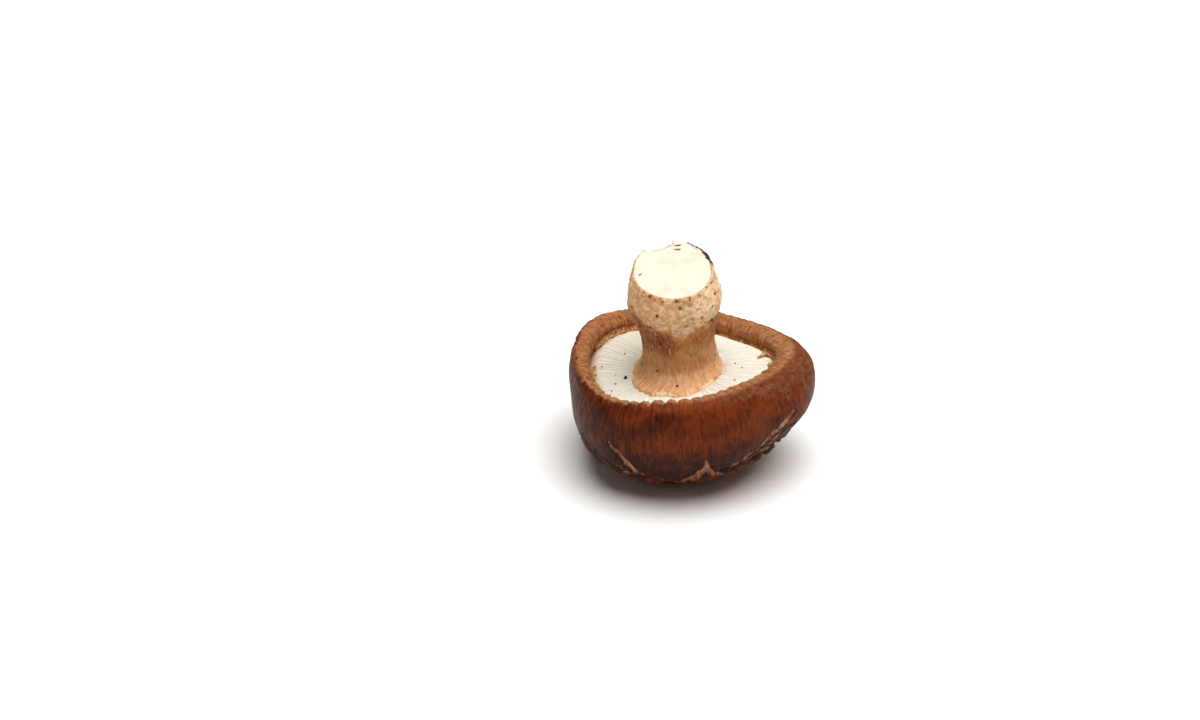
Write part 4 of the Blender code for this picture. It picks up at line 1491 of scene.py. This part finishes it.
class MUSHROOM_OT_fibrils(bpy.types.Operator):
    """Scatter fine fibrils over the stem and the rim"""

    bl_idname = "mushroom.fibrils"
    bl_label = "Make Fibrils"

    def execute(self, context):
        looks = context.scene.mushroom_scatter
        pale = plain_flesh_finish("fibril_pale", looks.fibril_shade, looks.fibril_light, 1.4 * MM)
        brown = plain_flesh_finish("fibril_brown", looks.fuzz_shade, looks.fuzz_light, 1.4 * MM)
        for source, name, slot, finish, density, width, seed in (
            ("stem_flesh", "stem_fibrils", "stem_tan", pale, looks.fibril_density, FIBRIL_WIDTH, 5),
            ("cap_flesh", "rim_fibrils", "cap_skin", brown, looks.fuzz_density, FUZZ_WIDTH, 9),
        ):
            piece = bpy.data.objects.get(source)
            if piece is None:
                raise RuntimeError(f"make {source} before its fibrils")
            grain = np.broadcast_to(STEM_AXIS, (len(piece.data.vertices), 3))
            surface = surface_for_scatter(piece, mesh_values(piece.data, "fuzz"), grain)
            mesh = fibrils(surface, density, FIBRIL_LENGTH, width, seed, finish)
            add_piece(name, mesh, None)
        return {"FINISHED"}


class MUSHROOM_OT_specks(bpy.types.Operator):
    """Scatter crumbs of earth over the stem's foot, the gills and the rim"""

    bl_idname = "mushroom.specks"
    bl_label = "Make Specks"

    def execute(self, context):
        looks = context.scene.mushroom_scatter
        earth = plain_flesh_finish("earth", looks.earth_dark, looks.earth_pale, 0.4 * MM, 0.9)
        stem, cap = bpy.data.objects.get("stem_flesh"), bpy.data.objects.get("cap_flesh")
        if stem is None or cap is None:
            raise RuntimeError("make the stem and the cap before their specks")
        on_stem = 0.25 + mesh_values(stem.data, "foot") + 0.5 * mesh_values(stem.data, "coat")
        on_stem = on_stem * (1 - 0.85 * mesh_values(stem.data, "cut"))
        on_cap = mesh_values(cap.data, "fuzz") + 0.01
        stem_spots = [stem_spot(*crumb) for crumb in STEM_CRUMBS]
        stem_spots += scattered_spots(stem, on_stem, looks.stem_specks, 3)
        rim_spots = scattered_spots(cap, on_cap, looks.rim_specks, 4)
        gill_spots = [gill_spot(*crumb) for crumb in GILL_CRUMBS]
        tree = speck_tree()
        values = {"Width": looks.speck_width, "Seed": 3, "Material": earth}
        for name, spots, slot in (
            ("stem_specks", stem_spots, "stem_tan"),
            ("rim_specks", rim_spots, "cap_skin"),
            ("gill_specks", gill_spots, "gill_cream"),
        ):
            add_piece(name, grown_by(tree, values, speck_points(spots)), None)
        return {"FINISHED"}


def add_soft_light(name, towards, strength, softness, tint):
    """A far light, as soft as the angle it fills, that shines from a direction."""
    light = bpy.data.lights.new(name, "SUN")
    light.energy = strength
    light.angle = softness
    light.color = tint
    lamp = linked(name, light)
    lamp.location = Vector(towards)
    lamp.rotation_mode = "QUATERNION"
    lamp.rotation_quaternion = Vector(towards).to_track_quat("Z", "Y")


class MUSHROOM_OT_stage(bpy.types.Operator):
    """Set up the floor, the lights and the camera"""

    bl_idname = "mushroom.stage"
    bl_label = "Make Stage"

    def execute(self, context):
        looks = context.scene.mushroom_stage
        scene = context.scene
        mesh = bpy.data.meshes.new("floor")
        corners = [(x * FLOOR_HALF, y * FLOOR_HALF, 0) for x, y in ((-1, -1), (1, -1), (1, 1), (-1, 1))]
        mesh.from_pydata(corners, [], [(0, 1, 2, 3)])
        floor = linked("floor", mesh)
        paper = Finish("floor_paper")
        tone = paper.mix(paper.noise(paper.place, 0.3, 2.0), looks.floor_colour,
                         [channel * 0.98 for channel in looks.floor_colour])
        mesh.materials.append(paper.finish(tone, 0.9, specular=0.2))

        world = bpy.data.worlds.new("studio")
        scene.world = world
        world.use_nodes = True
        background = world.node_tree.nodes["Background"]
        background.inputs["Color"].default_value = (1.0, 1.0, 1.0, 1.0)
        background.inputs["Strength"].default_value = looks.fill_strength
        add_soft_light("key", KEY_FROM, looks.key_strength, looks.key_softness, KEY_TINT)

        eye = bpy.data.cameras.new("camera")
        eye.lens = looks.lens
        eye.sensor_width = SENSOR_WIDTH_MM
        eye.clip_start, eye.clip_end = 0.01, 20.0
        camera = linked("camera", eye)
        back = Vector((0.0, -math.cos(looks.elevation), math.sin(looks.elevation)))
        upward = Vector((0.0, math.sin(looks.elevation), math.cos(looks.elevation)))
        aim = Vector((looks.aim_across, 0.0, 0.0)) + upward * looks.aim_up
        camera.location = aim + back * looks.camera_distance
        camera.rotation_mode = "QUATERNION"
        camera.rotation_quaternion = (-back).to_track_quat("-Z", "Y")
        scene.camera = camera
        scene.view_settings.view_transform = "Standard"
        scene.view_settings.look = "Medium High Contrast"
        return {"FINISHED"}


class MUSHROOM_PT_panel(bpy.types.Panel):
    """Lists the mushroom's pieces and their settings"""

    bl_idname = "MUSHROOM_PT_panel"
    bl_label = "Shiitake Mushroom"
    bl_space_type = "VIEW_3D"
    bl_region_type = "UI"
    bl_category = "Shiitake"

    def draw(self, context):
        for operators, holder in PANEL_ROWS:
            box = self.layout.box()
            for operator in operators:
                box.operator(operator.bl_idname)
            settings = getattr(context.scene, holder)
            for name in settings.__annotations__:
                box.prop(settings, name)


SETTINGS = (
    ("mushroom_cap", CapLooks),
    ("mushroom_gills", GillLooks),
    ("mushroom_stem", StemLooks),
    ("mushroom_scatter", ScatterLooks),
    ("mushroom_stage", StageLooks),
)
OPERATORS = (
    MUSHROOM_OT_cap, MUSHROOM_OT_gills, MUSHROOM_OT_stem, MUSHROOM_OT_veil,
    MUSHROOM_OT_fibrils, MUSHROOM_OT_specks, MUSHROOM_OT_stage,
)
PANEL_ROWS = (
    ((MUSHROOM_OT_cap,), "mushroom_cap"),
    ((MUSHROOM_OT_gills,), "mushroom_gills"),
    ((MUSHROOM_OT_stem,), "mushroom_stem"),
    ((MUSHROOM_OT_veil, MUSHROOM_OT_fibrils, MUSHROOM_OT_specks), "mushroom_scatter"),
    ((MUSHROOM_OT_stage,), "mushroom_stage"),
)


def register():
    for holder, group in SETTINGS:
        bpy.utils.register_class(group)
        setattr(bpy.types.Scene, holder, bpy.props.PointerProperty(type=group))
    for made in (*OPERATORS, MUSHROOM_PT_panel):
        bpy.utils.register_class(made)


def unregister():
    for made in (MUSHROOM_PT_panel, *reversed(OPERATORS)):
        bpy.utils.unregister_class(made)
    for holder, group in reversed(SETTINGS):
        delattr(bpy.types.Scene, holder)
        bpy.utils.unregister_class(group)


def main():
    register()
    for operator in OPERATORS:
        category, name = operator.bl_idname.split(".")
        getattr(getattr(bpy.ops, category), name)()


if __name__ == "__main__":
    main()
